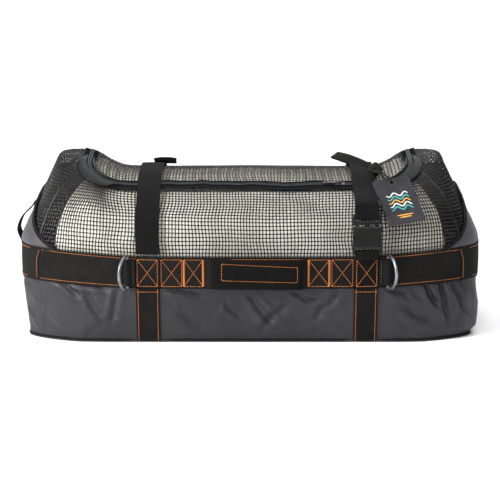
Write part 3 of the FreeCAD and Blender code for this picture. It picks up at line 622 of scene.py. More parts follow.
def coated(name, dark, light, rough, weave=0.0011, coat=0.0, streak=0.25, spec=0.25):
    """Coated base cloth: soft sheen, faint plain weave, creases and scuffs."""
    n = NT(name)
    o = n.obj()
    s = n.node("ShaderNodeSeparateXYZ")
    n.t.links.new(o, s.inputs[0])
    a = sinwave(n, s.outputs[0], weave)
    b = sinwave(n, s.outputs[2], weave)
    c = sinwave(n, s.outputs[1], weave)
    w = n.math("MULTIPLY", n.math("ADD", a, c), b)
    big = n.noise(o, 9.0, 4.0, 0.6, 0.6)
    fine = n.noise(o, 70.0, 4.0, 0.6)
    grain = n.noise(o, 900.0, 2.0)
    t = n.math("ADD", n.math("MULTIPLY", big, 0.6), n.math("ADD", n.math("MULTIPLY", fine, streak), n.math("MULTIPLY", grain, 0.15)))
    col = n.ramp(t, [(0.30, dark), (0.70, light)])
    nb = n.bump(fine, 0.0022, 0.35)
    nb = n.bump(w, 0.00010, 0.5, nb)
    r = n.math("ADD", n.math("MULTIPLY", fine, 0.25), rough - 0.12)
    return n.done(col, r, nb, Coat_Weight=coat, Coat_Roughness=0.25, Specular_IOR_Level=spec)


def plastic(name, dark, light, rough, metallic=0.0, scale=420.0, bump=0.00006):
    n = NT(name)
    o = n.obj()
    slow = n.noise(o, 60.0, 3.0)
    grain = n.noise(o, scale * 3, 2.0)
    pits = n.node("ShaderNodeTexVoronoi")
    n.set(pits, Vector=o, Scale=scale)
    col = n.ramp(slow, [(0.35, dark), (0.7, light)])
    nb = n.bump(pits.outputs["Distance"], bump, 0.6)
    nb = n.bump(grain, bump * 0.6, 0.5, nb)
    r = n.math("ADD", n.math("MULTIPLY", slow, 0.18), rough - 0.09)
    return n.done(col, r, nb, Metallic=metallic, Specular_IOR_Level=0.34)


def thread(name, dark, light, rough=0.55):
    n = NT(name)
    o = n.obj()
    v = n.node("ShaderNodeTexWave")
    n.set(v, Vector=o, Scale=900.0, Distortion=2.0)
    slow = n.noise(o, 25.0, 2.0)
    fine = n.noise(o, 500.0, 2.0)
    t = n.math("ADD", n.math("MULTIPLY", slow, 0.6), n.math("MULTIPLY", fine, 0.4))
    col = n.ramp(t, [(0.3, dark), (0.68, light)])
    nb = n.bump(v.outputs["Fac"], 0.00012, 0.6)
    return n.done(col, rough, nb, Sheen_Weight=0.2)


def cloth_mat(name, dark, light, weave=0.0016, rough=0.8, pleat_shade_stripes=0.0):
    """Plain-woven lining cloth with soft shading marks; optional pale stripes across x, spaced like the lid lining's
    pleats, are painted light and shade of those pleats.
    """
    n = NT(name)
    o = n.obj()
    s = n.node("ShaderNodeSeparateXYZ")
    n.t.links.new(o, s.inputs[0])
    a, b = sinwave(n, s.outputs[0], weave), sinwave(n, n.math("ADD", s.outputs[2], s.outputs[1]), weave)
    w = n.math("MULTIPLY", a, b)
    slow = n.noise(o, 14.0, 4.0, 0.6, 0.4)
    fine = n.noise(o, 600.0, 2.0)
    t = n.math("ADD", n.math("MULTIPLY", slow, 0.75), n.math("MULTIPLY", fine, 0.25))
    if pleat_shade_stripes:
        # painted light and shade of the pleats: pale and dark stripes across x at the 14.2 mm pleat pitch
        pleat_shade_wave = sinwave(n, s.outputs[0], 0.0142, n.math("MULTIPLY", slow, 4.0))
        t = n.math("ADD", t, n.math("MULTIPLY", pleat_shade_wave, pleat_shade_stripes))
    col = n.ramp(t, [(0.28, dark), (0.62, light)])
    nb = n.bump(w, 0.00016, 0.6)
    nb = n.bump(slow, 0.004, 0.3, nb)
    return n.done(col, rough, nb, Sheen_Weight=0.1)


M_TUB = coated("tub_cloth", (0.0105, 0.0102, 0.0120), (0.027, 0.0263, 0.0303), 0.38, coat=0.02, spec=0.22)
M_ARCH = coated("arch_cloth", (0.030, 0.0285, 0.032), (0.062, 0.059, 0.066), 0.46, coat=0.03)
M_BASE = coated("base_cloth", (0.020, 0.020, 0.022), (0.045, 0.044, 0.048), 0.55, weave=0.0022)
M_LACK = coated("lining_black", (0.0010, 0.0010, 0.0012), (0.0036, 0.0034, 0.0036), 0.9, spec=0.06)
M_NET = plastic("net_cord", (0.004, 0.0037, 0.0036), (0.016, 0.0148, 0.0142), 0.24, scale=900.0, bump=0.00012)
M_WEB = webbing("webbing_black", (0.0009, 0.0008, 0.0008), (0.0115, 0.0106, 0.0100), rough=0.84)
M_STRAP = webbing("webbing_strap", (0.0008, 0.0007, 0.0009), (0.0052, 0.0048, 0.0054), rough=0.82)
M_LINER = cloth_mat("liner_cream", (0.70, 0.67, 0.54), (0.88, 0.86, 0.76))
# the stripes of the lid lining are painted light and shade of its pleats
M_LIDLN = cloth_mat("liner_lid", (0.42, 0.39, 0.29), (0.80, 0.77, 0.64), pleat_shade_stripes=0.16)
M_TAPE = coated("zip_tape_gloss", (0.0010, 0.0013, 0.0017), (0.0042, 0.0052, 0.0065), 0.80, weave=0.0009, coat=0.0, spec=0.03)
M_TEETH = plastic("zip_teeth", (0.003, 0.0042, 0.0060), (0.012, 0.0165, 0.0220), 0.34)
M_FLAP = coated("flap_gloss", (0.0010, 0.0011, 0.0013), (0.0042, 0.0048, 0.0055), 0.34, weave=0.0013, coat=0.05, spec=0.15)
M_METAL = plastic("ring_steel", (0.115, 0.13, 0.15), (0.26, 0.28, 0.31), 0.30, metallic=0.85, scale=700.0, bump=0.00003)
M_SLIDER = plastic("slider_black", (0.02, 0.02, 0.022), (0.07, 0.07, 0.075), 0.30, metallic=0.6)
M_BUCKLE = plastic("buckle_nylon", (0.0015, 0.0015, 0.0017), (0.0048, 0.0048, 0.0054), 0.22, scale=520.0)
M_THREAD = thread("thread_orange", (0.30, 0.062, 0.001), (0.62, 0.175, 0.004))
M_THREADK = thread("thread_dark", (0.006, 0.006, 0.006), (0.03, 0.03, 0.03))
M_PALE = thread("thread_pale", (0.62, 0.62, 0.62), (0.85, 0.85, 0.84))
M_TEAL = thread("thread_teal", (0.02, 0.28, 0.27), (0.04, 0.42, 0.38))
M_AMBER = thread("thread_amber", (0.70, 0.30, 0.02), (0.90, 0.45, 0.04))
M_GRIP = webbing("grip_wrap", (0.0006, 0.0005, 0.0005), (0.0036, 0.0032, 0.0030), period=0.0016, rough=0.82)
M_TAG = webbing("tag_weave", (0.016, 0.016, 0.020), (0.050, 0.049, 0.058), period=0.0016, rough=0.75)
M_CORD = webbing("tag_cord_braid", (0.004, 0.004, 0.004), (0.024, 0.023, 0.023), period=0.0024, rough=0.6)

for _n, _o in NODES.items():
    m = None
    if _n.startswith("buckle_"):
        m = M_BUCKLE
    elif _n.startswith("d_ring_") and "tab" not in _n:
        m = M_METAL
    elif _n in ("zip_slider", "zip_pull"):
        m = M_SLIDER
    if m:
        _o.data.materials.clear() if not _o.material_slots else None
        if _o.material_slots:
            for sl in _o.material_slots:
                sl.material = m
        else:
            _o.data.materials.append(m)

# =====================================================================================
# Tub, bottom, end arches and lining
# =====================================================================================
S1, S2 = s_of_phi(-38.0), s_of_phi(29.0)          # panel joins of the upper walls, right end
L1, L2 = LTOT - S1, LTOT - S2


def strap_gap(x, y):
    """1 away from the straps, 0 under them."""
    w = np.ones(np.shape(x))
    for a, b in (STRAP_L, STRAP_R):
        d = np.maximum(np.maximum(a - x, x - b), 0)
        w = np.minimum(w, sstep(d / 26.0))
    return np.where(np.abs(y) > 120, w, 1.0)


CREASES = [(-331, 106, -262, 68, 2.2, 4.5), (-300, 100, -215, 84, 1.8, 4.0), (-268, 88, -232, 30, 1.5, 6.0), (-140, 92, -62, 70, 2.0, 4.0), (-120, 60, -70, 20, 1.2, 7.0),
           (-8, 88, 44, 22, 1.7, 5.5), (66, 70, 8, 14, 1.5, 6.5), (-44, 72, -8, 40, 1.2, 5.0), (60, 88, 120, 62, 1.6, 4.5), (150, 96, 96, 30, 1.4, 6.0),
           (215, 92, 262, 68, 1.9, 4.0), (272, 102, 309, 46, 3.0, 4.5), (304, 106, 318, 22, 3.4, 5.0), (322, 100, 350, 30, 3.2, 4.5), (236, 60, 300, 30, 1.8, 6.0), (-210, 96, -226, 20, 1.3, 5.0)]


def tub_relief(s, z, P):
    s = np.where(s > LTOT / 2, s - LTOT, s)
    seam_fade = sstep((LTOT / 2 - np.abs(s)) / 60.0)
    x, y = P[..., 0], P[..., 1]
    g = strap_gap(x, y)
    body = sstep(z / 22.0) * sstep((94.0 - z) / 24.0)
    d = 2.6 * vnoise(s / 150.0, z / 70.0 + 3.1, 2) * body
    d += 1.5 * body * g
    q = s / 62.0 + 0.55 * z / 30.0
    d += 1.1 * (1 - np.abs(vnoise(q, z / 95.0, 7))) ** 6 * body * 1.6
    q = s / 84.0 - 0.5 * z / 34.0
    d -= 1.5 * (1 - np.abs(vnoise(q, z / 110.0, 12))) ** 8 * body
    # gathers just under the girth band
    d += 0.9 * np.sin(s / 9.0 + 2.2 * vnoise(s / 40.0, 0 * z, 3)) * sstep((z - 58) / 28.0) * sstep((93.0 - z) / 12.0) * (0.4 + 0.6 * vnoise(s / 55.0, z * 0, 6))
    # creases pressed in by handling: (x0, z0, x1, z1, depth, half width), on the front and mirrored behind
    for x0, z0, x1, z1, dep, wd in CREASES:
        for sg, mx in ((-1.0, 1.0), (1.0, -1.0)):
            ux, uz = (x1 - x0), (z1 - z0)
            ln = math.hypot(ux, uz)
            ux, uz = ux / ln, uz / ln
            rx, rz = x * mx - x0, z - z0
            t_ = rx * ux + rz * uz
            c_ = rx * uz - rz * ux + 3.0 * vnoise(t_ / 18.0, x0 / 50.0, 19)
            env = sstep(t_ / (0.25 * ln)) * sstep((ln - t_) / (0.35 * ln)) * (y * sg > 60)
            d += 2.0 * env * dep * (-np.exp(-(c_ / wd) ** 2) + 0.85 * np.exp(-((c_ - 1.7 * wd) / (1.2 * wd)) ** 2) + 0.45 * np.exp(-((c_ + 1.9 * wd) / (1.4 * wd)) ** 2))
    d = d * (0.12 + 0.88 * g) * seam_fade
    d = d * (z > 4)
    # the loaded right end sags outwards near the floor
    d += 7.0 * sstep((x - 290.0) / 70.0) * sstep((z - 5.0) / 14.0) * sstep((88.0 - z) / 40.0)
    # the band holds the wall in above this height
    d = np.minimum(d, 0.15 + 9.0 * sstep((93.0 - z) / 18.0))
    # welded corner seams, one on each end of each long side
    for xs in (336.0, -336.0):
        seam = np.abs(x - xs - (z - 60.0) * 0.10 * np.sign(xs))
        d -= 1.1 * np.exp(-(seam / 3.4) ** 2) * (np.abs(x) > 200) * body
        d += 1.3 * sstep((seam - 0.0) / 5.0) * sstep((22 - seam) / 14.0) * body * (np.abs(x) > 200) * (x * np.sign(xs) > (xs + (z - 60.0) * 0.10 * np.sign(xs)) * np.sign(xs))
    return d


ss = np.linspace(0, LTOT, 1401)[:-1]
zz = np.concatenate([[3.2, 4.4, 7.0], np.linspace(10, 118, 44)])
SS, ZZ = np.meshgrid(ss, zz, indexing="ij")
P, N = wall(SS, ZZ)
D = tub_relief(SS, ZZ, P)
P = P + N * D[..., None]
V, F, U = thick(P, grid_normals(P), 0.0, -1.6, np.stack([SS, ZZ], -1), ring=True)
make("tub_shell", V, F, M_TUB, "bag", uv=U, wrap=LTOT, slot="base_fabric", rep=("base_tub",))
TUB_P = P

# bottom: gently domed plate with a rounded rim
rows = []
for k, (inset, z) in enumerate([(0.0, 3.0), (-1.2, 2.2), (-1.2, 0.8), (0.0, 0.0), (6.0, 0.0)]):
    Q, M = wall(ss[::2], np.full(len(ss) // 2, 3.2))
    Q = Q.copy()
    Q[:, :2] -= (M[:, :2] / np.linalg.norm(M[:, :2], axis=1, keepdims=True)) * (inset + 0.4)
    Q[:, 2] = z
    rows.append(Q)
G = np.stack(rows, 1)
n0 = G.shape[0]
cen = G[:, -1].mean(0)
inner = [G[:, -1] * (1 - t) + cen * t for t in (0.08, 0.3, 0.6, 0.85)]
up = [r.copy() for r in inner]
for k, r in enumerate(inner):
    r[:, 2] = 0.35 * min(1.0, (k + 1) / 2.0)
    up[k][:, 2] = 3.0
G = np.concatenate([G] + [r[:, None] for r in inner], 1)
Gt = np.concatenate([G[:, :1]] + [r[:, None] for r in up], 1)
bb = Bag()
for grid, flip in ((G, True), (Gt, False)):
    n_, m_ = grid.shape[:2]
    idx = np.arange(n_ * m_).reshape(n_, m_)
    nx = np.roll(idx, -1, 0)
    q = np.stack([idx[:, :-1], nx[:, :-1], nx[:, 1:], idx[:, 1:]], -1).reshape(-1, 4)
    c = np.array([[cen[0], cen[1], grid[0, -1, 2]]])
    ce = np.full(n_, n_ * m_)
    tri = np.stack([idx[:, -1], nx[:, -1], ce], -1)
    fs = [q[:, ::-1], tri[:, ::-1]] if flip else [q, tri]
    vv = np.concatenate([grid.reshape(-1, 3), c])
    bb.add(vv, fs, vv[:, :2])
ob = bb.make("base_plate", M_BASE, "bag", slot="base_fabric", rep=("bottom_panel",))
ob.data.validate()
import bmesh
_b = bmesh.new()
_b.from_mesh(ob.data)
bmesh.ops.remove_doubles(_b, verts=_b.verts, dist=1e-6)
bmesh.ops.recalc_face_normals(_b, faces=_b.faces)
_b.to_mesh(ob.data)
_b.free()

# piping between the tub and the bottom
Q, M = wall(ss[::2], np.full(len(ss) // 2, 4.0))
Q = Q + M * 0.6
under = strap_gap(Q[:, 0], Q[:, 1])
Q = Q - M * ((1 - under) * 1.3)[:, None]
V, F, U = tube(Q, M, 1.7 * (0.35 + 0.65 * under), 1.7 * (0.35 + 0.65 * under), 8, closed=True)
make("base_piping", V, F, M_WEB, "bag", uv=U, wrap=None, slot="base_fabric")

# grey end arches over the band, with a bound upper edge
ARCHK = [(-45.5, 140.0), (-43.0, 147.0), (-38.0, 158.0), (-28.0, 184.0), (-14.0, 207.0), (0.0, 214.0), (13.0, 208.0), (29.0, 180.0), (38.0, 152.0), (41.0, 146.0), (43.0, 140.0)]
_arch = pchip([s_of_phi(a) for a, _ in ARCHK], [b for _, b in ARCHK])
SA0, SA1 = s_of_phi(-45.5), s_of_phi(43.0)


def arch_z(s):
    s = np.mod(np.asarray(s, float), LTOT)
    t = np.where(s > LTOT / 2, LTOT - s, s)
    return np.where((t > SA0) & (t < SA1), _arch(t), 138.0)


orange_bag = Bag()
dark_bag = Bag()
for side, flip in (("right", False), ("left", True)):
    s_ = edged(SA0, SA1, 90) if not flip else edged(LTOT - SA1, LTOT - SA0, 90)
    za = arch_z(s_)
    za = np.maximum(za, 139.0)
    f_ = np.concatenate([np.linspace(0, 1, 26)[:-1], [0.985, 1.0]])
    Sg = np.repeat(s_[:, None], len(f_), 1)
    Zg = 118.4 + f_[None] * (za[:, None] - 118.4)
    P, N = wall(Sg, Zg)
    rel = 1.7 * vnoise(Sg / 60.0, Zg / 34.0, 41) + 0.8 * vnoise(Sg / 26.0, Zg / 50.0, 44)
    rel = rel * sstep((Zg - 146) / 20.0) + 0.4 - 2.4 * sstep((144.5 - Zg) / 4.0)
    P = P + N * rel[..., None]
    V, F, U = thick(P, N, 1.5, 0.0, np.stack([Sg, Zg], -1))
    make("end_arch_" + side, V, F, M_ARCH, "bag", uv=U, slot="coated_fabric", rep=("end_panel_" + side,))
    # binding tape over the arch edge
    e, n_ = P[:, -1], N[:, -1]
    tdir = np.gradient(e, axis=0)
    tdir /= np.linalg.norm(tdir, axis=1, keepdims=True)
    upv = np.cross(n_, tdir)
    wb = np.linspace(-5.5, 1.8, 7)
    G = e[:, None] + upv[:, None] * wb[None, :, None] * (1.0 if np.mean((upv * [0, 0, 1]).sum(1)) > 0 else -1.0)
    Gn = np.repeat(n_[:, None], len(wb), 1)
    V, F, U = thick(G, Gn, 2.9, 1.7, np.stack([np.repeat(wb[None], len(s_), 0), np.repeat(s_[:, None], len(wb), 1)], -1))
    make("arch_binding_" + side, V, F, M_WEB, "bag", uv=U, slot="webbing")
    stitches(dark_bag, G[4:-4, 1] + n_[4:-4] * 2.9, n_[4:-4], 4.0, 3.0, 0.45)

# lining: cream sheets along the sides, black ones at the ends, folded softly
SLB = sx(313.0)
SLT = s_of_phi(-44.0)


def liner(name, s_lo, s_hi, mat, off, rep, z0=60.0, fold=1.0, seed=0, cols=220, slot="liner", short=0.6):
    u = np.linspace(0, 1, cols)
    zf = np.linspace(0, 1, 50)
    Sg = (s_lo + (s_hi - s_lo) * u)[:, None] + 0 * zf[None]
    top_z = zq_of(Sg)
    Zg = z0 + zf[None] * (top_z - short - 4.0 * min(short, 1.0) * (short > 1) * vnoise(Sg / 40.0, 0 * Sg, 58) - z0)
    P, N = wall(Sg, Zg)
    d = puff(Sg, Zg) * sstep((Zg - 142) / 16.0)
    d += fold * 1.0 * vnoise(Sg / 24.0, Zg / 70.0, 51 + seed) * sstep((Zg - 140) / 20.0)
    inner = 0.0 * Zg
    inner = np.where(Zg < 142, -1.5, 0.0)
    P = P + N * (d + inner)[..., None]
    V, F, U = thick(P, N, off + 0.9, off, np.stack([Sg, Zg], -1))
    return make(name, V, F, mat, "bag", uv=U, slot=slot, rep=rep)


liner("lining_front", LTOT - SLT, LTOT + SLT, M_LINER, -6.2, ("liner_front",), seed=1)
SB = s_of_phi(44.0)
liner("lining_back", SB + 4, LTOT - SB - 4, M_LINER, -6.2, ("liner_back",), seed=2)
liner("lining_end_right", SLT - 12, SB + 16, M_LACK, -8.4, (), seed=3, cols=140, short=17.0)
liner("lining_end_left", LTOT - SB - 16, LTOT - SLT + 12, M_LACK, -8.4, (), seed=4, cols=140, short=17.0)

# =====================================================================================
# Nets: every strand is its own cord, waved over and under its neighbours
# =====================================================================================
PITCH_C, PITCH_R = 5.2, 6.3


def net_point(s, arc):
    v = v_of_arc(s, arc)
    P, N = samp(PUP, s, v), samp(NUP, s, v)
    N = N / np.linalg.norm(N, axis=-1, keepdims=True)
    zn = 142 + v * (zq_of(s) - 142)
    d = puff(s, zn) * sstep((zn - 142) / 16.0) * sstep((1 - v) / 0.12 + 0.0)
    return P + N * d[..., None], N, zn


def warp(s, arc):
    """Slow sideways drift of the strands so the net looks hand-filled."""
    return 3.4 * vnoise(s / 78.0, arc / 55.0, 61) + 1.3 * vnoise(s / 33.0, arc / 30.0, 62)


def strand_shape(frac):
    """Half width and half thickness along one cell; frac is 0 at a crossing."""
    w = 0.5 + 0.5 * np.cos(2 * np.pi * frac)
    return 0.80 + 0.42 * w, 0.50 + 0.16 * w


def net_panel(name, a, b, rep, seam=True):
    bag = Bag()
    nc = int(round((b - a) / PITCH_C))
    cols = np.linspace(a, b, nc + 1)
    arcmax = float(np.max(atot_of(np.linspace(a, b, 60))))
    nr = int(arcmax / PITCH_R) + 1
    lowz = arch_z(cols)
    for k, sc in enumerate(cols):
        edge = seam and k in (0, nc)
        total = float(atot_of(sc))
        m = int(total / PITCH_R * 4) + 2
        arc = np.concatenate([[-5.0 + 0 * total], np.arange(0, m) * PITCH_R / 4])
        arc = arc[arc <= total]
        arc = np.append(arc, total)
        sv = sc + warp(sc, np.maximum(arc, 0)) * sstep(np.maximum(arc, 0) / 30.0) * (0.0 if edge else 1.0)
        P, N, zn = net_point(sv, np.maximum(arc, 0))
        if arc[0] < 0:
            P0, _ = wall(sv[:1], np.array([137.0]))
            P[0] = P0[0]
        keep = zn >= lowz[k] - 5.0
        if lowz[k] > 142 and keep.sum() < 4:
            continue
        P, N, arc = P[keep], N[keep], arc[keep]
        if len(P) < 4:
            continue
        fr = np.maximum(arc, 0) / PITCH_R
        hw, ht = strand_shape(fr)
        wave = 0.32 * np.cos(np.pi * (fr + k))
        if edge:
            hw, ht, wave = hw * 0 + 2.2, ht * 0 + 1.0, wave * 0 + 0.4
        P = P + N * (wave - 0.75)[:, None]
        Vv, Ff, Uu = tube(P, N, hw, ht, 6)
        bag.add(Vv, Ff, Uu)
    fine = 4
    sg = np.linspace(a, b, nc * fine + 1)
    for r in range(0, nr):
        arc = np.full(len(sg), r * PITCH_R) + (0.0 if r else 0.6)
        wob = 1.5 * vnoise(sg / 85.0, arc / 50.0, 71) * sstep(arc / 40.0)
        P, N, zn = net_point(sg + warp(sg, arc) * sstep(arc / 30.0), np.maximum(arc + wob, 0))
        ok = (arc + wob < atot_of(sg) - 1.5) & (zn > arch_z(sg) - 5.0)
        fr = np.arange(len(sg)) / fine
        hw, ht = strand_shape(fr)
        wave = -0.32 * np.cos(np.pi * (fr + r))
        Q = P + N * (wave - 0.75)[:, None]
        i = 0
        while i < len(sg):
            if not ok[i]:
                i += 1
                continue
            j = i
            while j < len(sg) and ok[j]:
                j += 1
            if j - i >= 5:
                Vv, Ff, Uu = tube(Q[i:j], N[i:j], hw[i:j], ht[i:j], 6)
                bag.add(Vv, Ff, Uu)
            i = j
    return bag.make(name, M_NET, "bag", slot="open_mesh", rep=rep, sharp=None)


net_panel("net_front", LTOT - S1, LTOT + S1, ("mesh_front_panel",))
net_panel("net_end_right", S1, S2, ("end_mesh_right",), seam=False)
net_panel("net_back", S2, L2, ("mesh_back_panel",))
net_panel("net_end_left", L2, L1, ("end_mesh_left",), seam=False)

# lid net and its lining
bag = Bag()
nx, ny = int(2 * ZL / PITCH_C), int(2 * ZD / PITCH_R)
for k in range(nx + 1):
    x = -ZL + (k + 0.5) * PITCH_C
    y = np.arange(-ZD, ZD + 0.1, PITCH_R / 4)
    xv = x + 2.6 * vnoise(x / 70.0, y / 45.0, 81)
    ok = rim_inside(xv, y, 6.8)
    if ok.sum() < 6:
        continue
    P, N = top(xv[ok], y[ok])
    fr = (y[ok] + ZD) / PITCH_R
    hw, ht = strand_shape(fr)
    P = P + N * (0.32 * np.cos(np.pi * (fr + k)) - 0.6)[:, None]
    Vv, Ff, Uu = tube(P, N, hw, ht, 6)
    bag.add(Vv, Ff, Uu)
for r in range(ny + 1):
    y = -ZD + r * PITCH_R
    x = np.arange(-ZL + PITCH_C / 2, ZL, PITCH_C / 4)
    yv = y + 1.5 * vnoise(x / 80.0, y / 40.0, 83)
    xv = x + 2.6 * vnoise(x / 70.0, yv / 45.0, 81)
    ok = rim_inside(xv, yv, 6.8)
    if ok.sum() < 6:
        continue
    P, N = top(xv[ok], yv[ok])
    fr = np.arange(len(x))[ok] / 4.0
    hw, ht = strand_shape(fr)
    P = P + N * (-0.32 * np.cos(np.pi * (fr + r)) - 0.6)[:, None]
    Vv, Ff, Uu = tube(P, N, hw, ht, 6)
    bag.add(Vv, Ff, Uu)
bag.make("net_lid", M_NET, "lid", slot="open_mesh", rep=("lid_mesh",), sharp=None)

# lid lining: rows of soft pleats running front to back
u = np.linspace(-1, 1, 341)
Lx = ZL - 14.0
xs = np.sign(u) * np.abs(u) * Lx
w = np.linspace(0, 1, 40)
D_, rf_, rb_ = ZD - 13.0, ZRF - 13.0, ZRB - 13.0
ax = np.abs(xs)
yf = np.where(ax > Lx - rf_, -(D_ - rf_) - np.sqrt(np.maximum(rf_ ** 2 - (ax - Lx + rf_) ** 2, 0)), -D_)
yb = np.where(ax > Lx - rb_, (D_ - rb_) + np.sqrt(np.maximum(rb_ ** 2 - (ax - Lx + rb_) ** 2, 0)), D_)
X = xs[:, None] + 0 * w[None]
Y = yf[:, None] + (yb - yf)[:, None] * w[None]
P, N = top(X, Y)
fold = 0.9 * np.sin(2 * np.pi * X / 14.2 + 2.5 * vnoise(X / 60.0, Y / 40.0, 91)) + 1.0 * vnoise(X / 30.0, Y / 60.0, 92)
fold = fold * sstep((Lx - np.abs(X)) / 12.0)
P = P + N * fold[..., None]
V, F, U = thick(P, N, -5.4, -6.3, np.stack([X, Y], -1))
make("lining_lid", V, F, M_LIDLN, "lid", uv=U, slot="liner", rep=("lid_liner",))

# =====================================================================================
# Webbing: girth band, patches, straps, tabs and handles
# =====================================================================================
def patch(bag, s0, s1, z0, z1, off, t=WEB, n=16, wav=0.0, seed=0):
    """Webbing layer on the wall between s0 and s1, running along the girth."""
    s_ = edged(s0, s1, n, 0.6)
    z_ = edged(z0, z1, 10, 0.7)
    Sg, Zg = np.meshgrid(s_, z_, indexing="ij")
    P, N = wall(Sg, Zg)
    P = P + N * (wav * vnoise(Sg / 30.0, Zg / 40.0, seed))[..., None]
    V, F, U = thick(P, N, off + t, off, np.stack([Zg, Sg], -1))
    bag.add(V, F, U)


def sline(bag, s0, s1, z0, z1, off, kind="line", body_pitch=4.2, n=40):
    """Stitch line on the wall from (s0, z0) to (s1, z1) at height off above it."""
    t = np.linspace(0, 1, n)
    P, N = wall(s0 + (s1 - s0) * t, z0 + (z1 - z0) * t)
    P = P + N * off
    if kind == "bar":
        bartack(bag, P, N)
    else:
        stitches(bag, P, N, body_pitch)


def xbox(bag, s0, s1, off, z0=95.6, z1=138.4, bars=(False, False)):
    sline(bag, s0, s1, z0, z0, off)
    sline(bag, s0, s1, z1, z1, off)
    sline(bag, s0, s0, z0, z1, off, "bar" if bars[0] else "line")
    sline(bag, s1, s1, z0, z1, off, "bar" if bars[1] else "line")
    sline(bag, s0, s1, z0, z1, off + 0.05)
    sline(bag, s0, s1, z1, z0, off + 0.25)


# girth band, all the way round
zb = edged(91.2, 141.8, 14, 0.8)
Sg, Zg = np.meshgrid(np.linspace(0, LTOT, 1201)[:-1], zb, indexing="ij")
P, N = wall(Sg, Zg)
P = P + N * (0.75 * vnoise(Sg / 34.0, Zg / 60.0, 15) * strap_gap(P[..., 0], P[..., 1]) * sstep((np.abs(P[..., 0]) - 212.0) / 20.0) + 0.1)[..., None]
V, F, U = thick(P, N, 2.0, 0.4, np.stack([Zg, Sg], -1), ring=True)
# uv wrap has to run along the second axis here, so the along coordinate is mirrored about the seam
U[:, 1] = np.abs(U[:, 1] - LTOT / 2)
make("girth_webbing", V, F, M_WEB, "bag", uv=U, slot="webbing", rep=("girth_band",))
for z in (95.4, 138.6):
    sline(orange_bag, 0.0, LTOT, z, z, 2.15, n=1400)

# lap joins of the band near each end of the front, and plain ones behind
lap = Bag()
for c in (sx(336.0), LTOT - sx(336.0), sx(300.0, True), LTOT - sx(300.0, True)):
    d = 26.0 if c < LTOT / 2 else -26.0
    patch(lap, min(c, c + d), max(c, c + d), 91.6, 141.4, 2.2, 1.5)
    for q in (c + np.sign(d) * 3.0,):
        sline(orange_bag, q, q, 95.5, 138.5, 3.85)
lap.make("girth_laps", M_WEB, "bag", slot="webbing")

# handle patches with boxed crosses
OFF = 0.3 + WEB + 0.45
for side, sgn in (("front", False), ("back", True)):
    for end, (xa, xb_) in (("left", (-143.2, -72.0)), ("right", (91.0, 165.3))):
        a, b = sx(xa, sgn), sx(xb_, sgn)
        if not sgn and xa < 0:
            pass
        lo_, hi_ = min(a, b), max(a, b)
        bg = Bag()
        patch(bg, lo_, hi_, 93.2, 140.4, OFF, WEB, 22, 0.15, 4)
        bg.make("handle_anchor_%s_%s" % (side, end), M_WEB, "bag", slot="webbing", rep=("handle_patch_%s_%s" % (side, end),))
        o2 = OFF + WEB + 0.1
        if end == "left":
            spans = [(xa + 2.2, -108.5, False, False), (-105.0, xb_ - 2.5, True, True)]
        else:
            spans = [(xa + 2.0, 126.0, True, True), (130.0, xb_ - 2.0, False, False)]
        for x0, x1, b0, b1 in spans:
            p, q = sx(x0, sgn), sx(x1, sgn)
            if p > q:
                p, q, b0, b1 = q, p, b1, b0
            xbox(orange_bag, p, q, o2, bars=(b0, b1))


def strip(path, x0, x1, t=WEB, nx=8, conform=None, edge=0.7):
    """Webbing along a (y, z) path between x0 and x1. conform(x, y, z) gives a y shift."""
    path = np.asarray(path, float)
    tan = np.gradient(path, axis=0)
    tan /= np.linalg.norm(tan, axis=1, keepdims=True)
    nrm = np.stack([-tan[:, 1], tan[:, 0]], 1)
    xs = edged(x0, x1, nx, edge)
    d = np.concatenate([[0], np.cumsum(np.linalg.norm(np.diff(path, axis=0), axis=1))])
    P = np.zeros((len(path), len(xs), 3))
    P[..., 0] = xs[None]
    P[..., 1] = path[:, 0:1]
    P[..., 2] = path[:, 1:2]
    if conform is not None:
        P[..., 1] += conform(P[..., 0], P[..., 1], P[..., 2])
    N = np.zeros_like(P)
    N[..., 1] = nrm[:, 0:1]
    N[..., 2] = nrm[:, 1:2]
    U = np.stack([P[..., 0], np.broadcast_to(d[:, None], P.shape[:2])], -1)
    return thick(P, N, t / 2, -t / 2, U), P, N, d


def leaned(y, z):
    return (BAR_Y + y * math.cos(LEAN) + z * math.sin(LEAN), BAR_Z - y * math.sin(LEAN) + z * math.cos(LEAN))


def hug(x0, x1, z_free=150.0):
    """Y shift that keeps a strap against the curved wall below z_free."""
    e = float(max(edge_y(x0, 142.0), edge_y(x1, 142.0)))

    def f(x, y, z):
        return -np.sign(y) * (e - edge_y(x, 142.0)) * sstep((z_free + 8 - z) / 16.0) * (np.abs(y) > 140)
    return f


